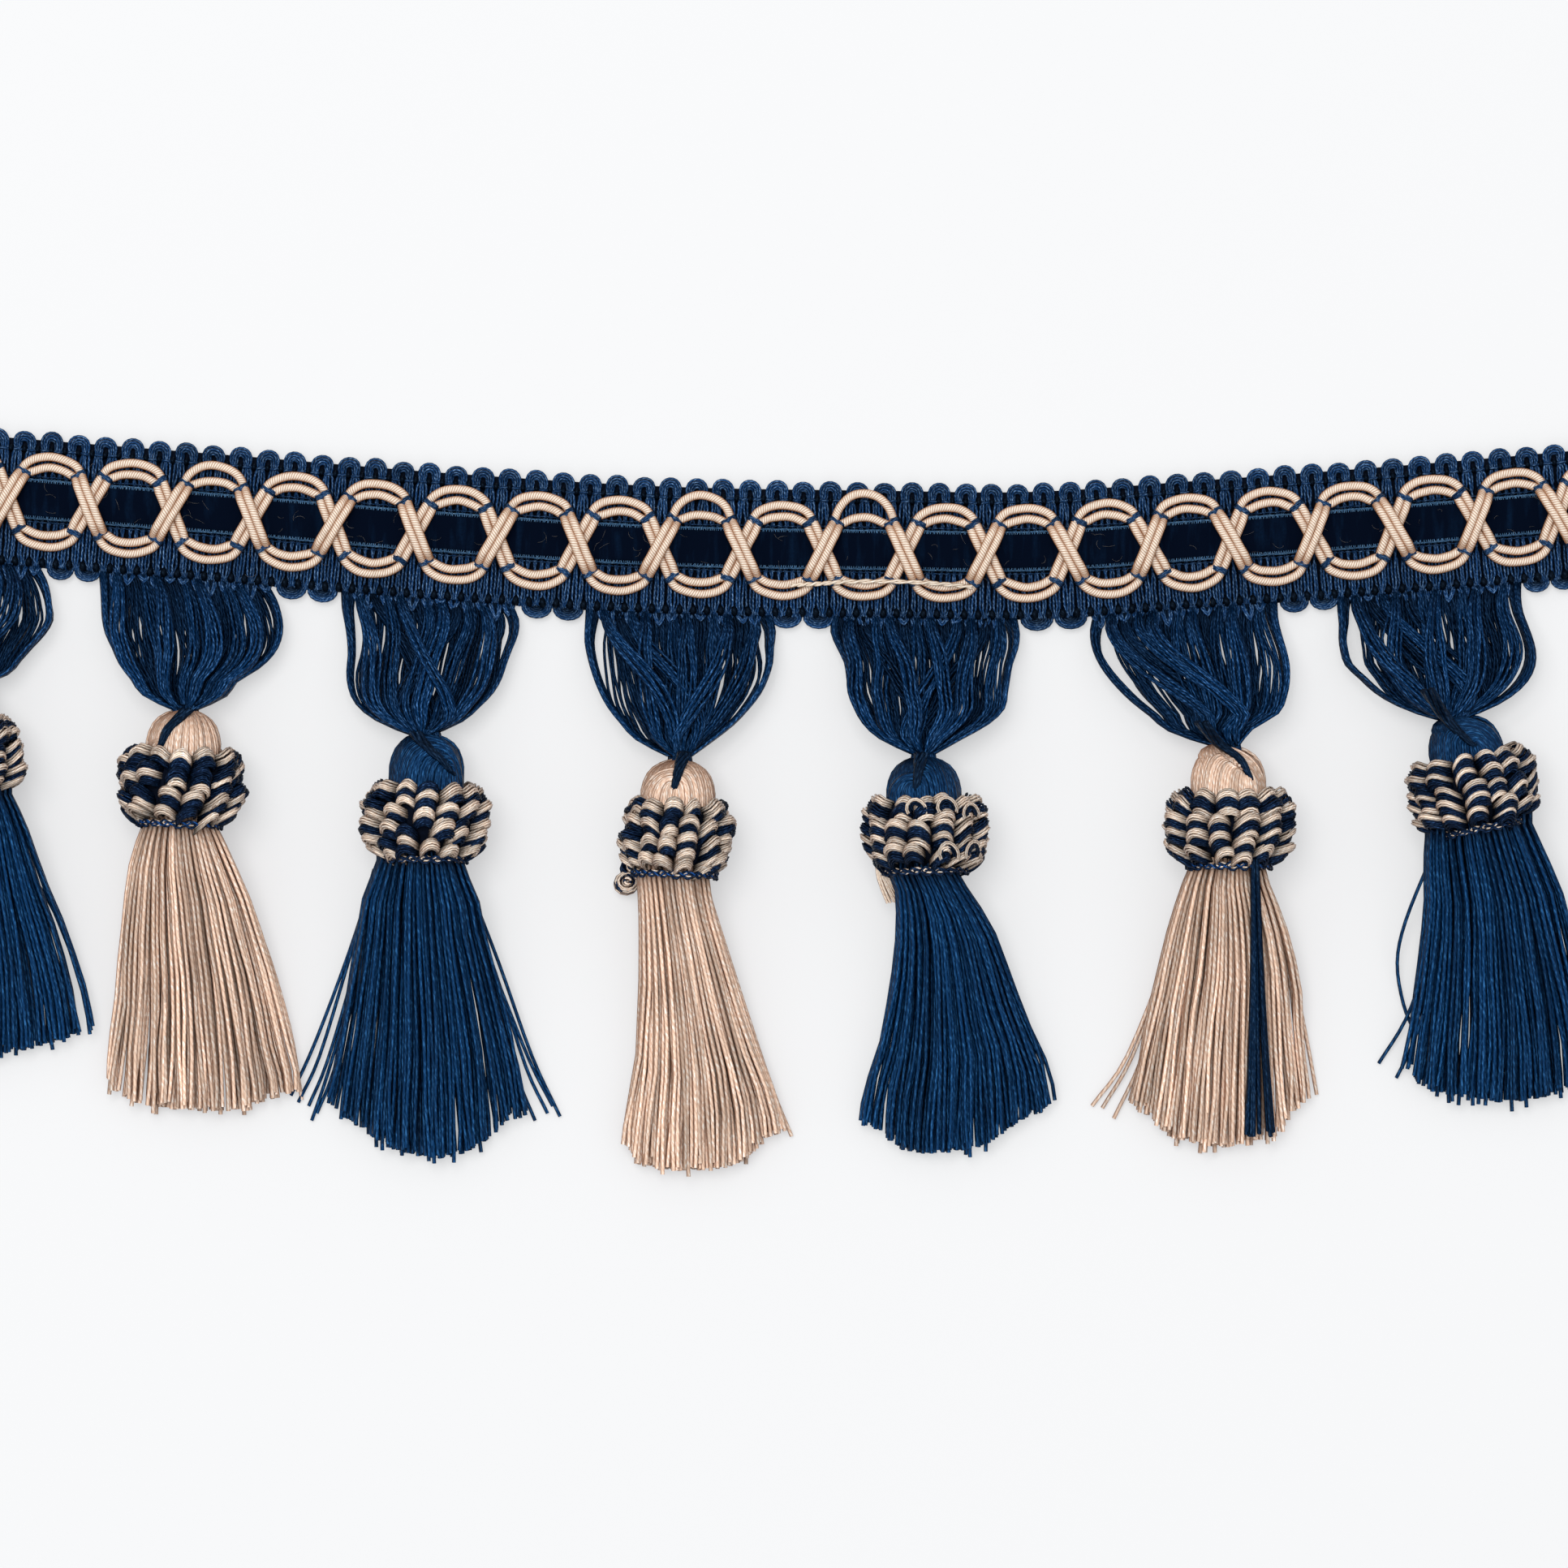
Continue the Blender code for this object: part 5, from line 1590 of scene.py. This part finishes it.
def make_loose_ends():
    """Single yarns that stand apart from the skirts, and the navy lock that lies on a sand skirt."""
    dice = np.random.default_rng(SEEDS["loose_ends"])
    for name, lines, dyed, slot, size in (
        ("loose_navy", LOOSE_NAVY, "navy_wool", "navy_yarn", sizes().navy_yarn / MM / 2),
        ("loose_sand", LOOSE_SAND, "sand_wool", "sand_yarn", sizes().sand_yarn / MM / 2),
    ):
        strands = []
        for line in lines:
            flat = smooth_line([(x, y, 0.0) for x, y in line], 4)
            share = np.linspace(0, 1, len(flat))
            level = 6.0 * (1 - share) ** 1.6 + size + 0.1 + 0.5 * dice.uniform() * (1 - share)
            points = np.stack(seen(flat[:, 0], flat[:, 1], level), axis=1)
            strands.append(strand(points, size * 0.9, dice.uniform(0.2, 0.8)))
        add_strands(name, strands, 5, [material(dyed)])
    navy_lock = []
    for _ in range(LOCK_YARNS):
        across, deep = dice.uniform(-1, 1), dice.uniform(0, 1)
        flat = smooth_line(
            [(102.6 + across * 0.5, -60.0, 0.0), (103.0 + across * 1.0, -80.0, 0.0),
             (103.3 + across * 1.9, -98.0, 0.0), (103.6 + across * 2.9, -113.6 + dice.uniform(0, 1.2), 0.0)], 4
        )
        share = np.linspace(0, 1, len(flat))
        level = np.interp(share, [0, 0.3, 0.65, 1], [17.2, 12.6, 9.0, 6.8]) - deep * 1.2
        points = np.stack(seen(flat[:, 0], flat[:, 1], level), axis=1)
        navy_lock.append(strand(points, 0.45, dice.uniform(0.1, 0.9)))
    add_strands("navy_lock", navy_lock, 5, [material("navy_dark")])


def make_stray_thread():
    """A loose end of two-ply thread that lies over the lower arcs of the cords."""
    line = smooth_line([(x, y, 4.3) for x, y in STRAY_ROUTE], 6)
    share = np.linspace(0, 1, len(line))
    strands = []
    for ply in (0, math.pi):
        turn = ply + share * 2 * math.pi * 23
        twisted = line + np.stack([0 * turn, 0.25 * np.cos(turn), 0.25 * np.sin(turn)], axis=1)
        strands.append(strand(twisted, 0.29, 0.6))
    add_strands("stray_thread", strands, 5, [material("stray_ply")])


# Stage


def make_stage():
    """The pale table, the light and the camera straight above."""
    stage = bpy.context.scene.fringe_stage
    bm = bmesh.new()
    bmesh.ops.create_grid(bm, x_segments=1, y_segments=1, size=TABLE_HALF)
    mesh = bpy.data.meshes.new("table")
    bm.to_mesh(mesh)
    bm.free()
    for vert in mesh.vertices:
        vert.co.z = TABLE_LEVEL
    table = bpy.data.objects.new("table", mesh)
    paint, _, shader = new_material("table_white")
    shader.inputs["Base Color"].default_value = (*(c * (1 - TABLE_GLOW) for c in colours().floor), 1.0)
    shader.inputs["Roughness"].default_value = 0.9
    shader.inputs["Specular IOR Level"].default_value = 0.1
    shader.inputs["Emission Color"].default_value = (*colours().floor, 1.0)
    shader.inputs["Emission Strength"].default_value = TABLE_GLOW * 1.11
    mesh.materials.append(paint)
    bpy.context.scene.collection.objects.link(table)

    world = bpy.data.worlds.new("fill")
    world.use_nodes = True
    backdrop = world.node_tree.nodes["Background"]
    backdrop.inputs["Color"].default_value = (*SKY_COLOUR, 1.0)
    backdrop.inputs["Strength"].default_value = stage.sky
    bpy.context.scene.world = world

    lamp = bpy.data.lights.new("key", "AREA")
    lamp.shape = "SQUARE"
    lamp.size = LAMP_SIZE
    lamp.energy = stage.key_light
    lamp.color = LAMP_COLOUR
    key = bpy.data.objects.new("key", lamp)
    key.location = LAMP_PLACE
    aim = Vector(LAMP_AIM) - key.location
    key.rotation_euler = aim.to_track_quat("-Z", "Y").to_euler()
    bpy.context.scene.collection.objects.link(key)

    lens = bpy.data.cameras.new("overhead")
    lens.sensor_width = 36.0
    lens.lens = lens.sensor_width * stage.camera_height / stage.frame_width
    lens.clip_start = 0.05
    lens.clip_end = 10.0
    camera = bpy.data.objects.new("overhead", lens)
    camera.location = (CAMERA_X * MM, CAMERA_Y * MM, stage.camera_height)
    bpy.context.scene.collection.objects.link(camera)
    bpy.context.scene.camera = camera
    bpy.context.scene.view_settings.view_transform = "Standard"


# Operators and panel


class FRINGE_OT_heading_ground(bpy.types.Operator):
    """Builds the woven ground of the heading."""

    bl_idname = "fringe.heading_ground"
    bl_label = "Heading ground"

    def execute(self, context):
        make_heading_ground()
        return {"FINISHED"}


class FRINGE_OT_heading_yarns(bpy.types.Operator):
    """Builds the yarns of the heading and the loops at its edges."""

    bl_idname = "fringe.heading_yarns"
    bl_label = "Heading yarns"

    def execute(self, context):
        make_heading_yarns()
        return {"FINISHED"}


class FRINGE_OT_velvet_ribbon(bpy.types.Operator):
    """Builds the ribbon and its selvage."""

    bl_idname = "fringe.velvet_ribbon"
    bl_label = "Velvet ribbon"

    def execute(self, context):
        make_velvet_ribbon()
        return {"FINISHED"}


class FRINGE_OT_wrapped_cords(bpy.types.Operator):
    """Builds the four waving cords."""

    bl_idname = "fringe.wrapped_cords"
    bl_label = "Wrapped cords"

    def execute(self, context):
        make_cords()
        return {"FINISHED"}


class FRINGE_OT_cord_ties(bpy.types.Operator):
    """Builds the thread ties at the cords' bends."""

    bl_idname = "fringe.cord_ties"
    bl_label = "Cord ties"

    def execute(self, context):
        make_cord_ties()
        return {"FINISHED"}


class FRINGE_OT_hangers(bpy.types.Operator):
    """Builds the loops that carry the tassels."""

    bl_idname = "fringe.hangers"
    bl_label = "Hanging loops"

    def execute(self, context):
        make_hangers()
        return {"FINISHED"}


class FRINGE_OT_tassels(bpy.types.Operator):
    """Builds the heads and skirts of yarn."""

    bl_idname = "fringe.tassels"
    bl_label = "Tassels"

    def execute(self, context):
        make_tassels()
        return {"FINISHED"}


class FRINGE_OT_collars(bpy.types.Operator):
    """Builds the looped collars round the waists."""

    bl_idname = "fringe.collars"
    bl_label = "Collars"

    def execute(self, context):
        make_collars()
        return {"FINISHED"}


class FRINGE_OT_collar_ends(bpy.types.Operator):
    """Builds the bits of the collars that came undone."""

    bl_idname = "fringe.collar_ends"
    bl_label = "Collar ends"

    def execute(self, context):
        make_collar_ends()
        return {"FINISHED"}


class FRINGE_OT_neck_ties(bpy.types.Operator):
    """Builds the cord that binds each neck."""

    bl_idname = "fringe.neck_ties"
    bl_label = "Neck ties"

    def execute(self, context):
        make_neck_ties()
        return {"FINISHED"}


class FRINGE_OT_loose_ends(bpy.types.Operator):
    """Builds the single yarns beside the skirts."""

    bl_idname = "fringe.loose_ends"
    bl_label = "Loose ends"

    def execute(self, context):
        make_loose_ends()
        return {"FINISHED"}


class FRINGE_OT_stray_thread(bpy.types.Operator):
    """Builds the loose thread on the heading."""

    bl_idname = "fringe.stray_thread"
    bl_label = "Stray thread"

    def execute(self, context):
        make_stray_thread()
        return {"FINISHED"}


class FRINGE_OT_hairs(bpy.types.Operator):
    """Builds the fine fibres on the heading."""

    bl_idname = "fringe.hairs"
    bl_label = "Hairs"

    def execute(self, context):
        make_hairs()
        return {"FINISHED"}


class FRINGE_OT_stage(bpy.types.Operator):
    """Builds the table, the light and the camera."""

    bl_idname = "fringe.stage"
    bl_label = "Stage"

    def execute(self, context):
        make_stage()
        return {"FINISHED"}


OPERATORS = [
    FRINGE_OT_heading_ground,
    FRINGE_OT_heading_yarns,
    FRINGE_OT_velvet_ribbon,
    FRINGE_OT_wrapped_cords,
    FRINGE_OT_cord_ties,
    FRINGE_OT_hangers,
    FRINGE_OT_tassels,
    FRINGE_OT_collars,
    FRINGE_OT_collar_ends,
    FRINGE_OT_neck_ties,
    FRINGE_OT_loose_ends,
    FRINGE_OT_stray_thread,
    FRINGE_OT_hairs,
    FRINGE_OT_stage,
]


class FRINGE_PT_panel(bpy.types.Panel):
    """Sizes, colours and builders of the fringe."""

    bl_idname = "FRINGE_PT_panel"
    bl_label = "Tassel fringe"
    bl_space_type = "VIEW_3D"
    bl_region_type = "UI"
    bl_category = "Fringe"

    def draw(self, context):
        column = self.layout.column()
        for group in (context.scene.fringe_colours, context.scene.fringe_sizes, context.scene.fringe_stage):
            for name in group.__annotations__:
                column.prop(group, name)
        for operator in OPERATORS:
            column.operator(operator.bl_idname)


CLASSES = [FringeColours, FringeSizes, FringeStage, *OPERATORS, FRINGE_PT_panel]


def register():
    """Adds the classes and the scene's settings."""
    for item in CLASSES:
        bpy.utils.register_class(item)
    bpy.types.Scene.fringe_colours = PointerProperty(type=FringeColours)
    bpy.types.Scene.fringe_sizes = PointerProperty(type=FringeSizes)
    bpy.types.Scene.fringe_stage = PointerProperty(type=FringeStage)


def unregister():
    """Takes them out again."""
    del bpy.types.Scene.fringe_stage
    del bpy.types.Scene.fringe_sizes
    del bpy.types.Scene.fringe_colours
    for item in reversed(CLASSES):
        bpy.utils.unregister_class(item)


def main():
    """Builds every piece."""
    register()
    for operator in OPERATORS:
        getattr(bpy.ops.fringe, operator.bl_idname.split(".")[1])()


if __name__ == "__main__":
    main()
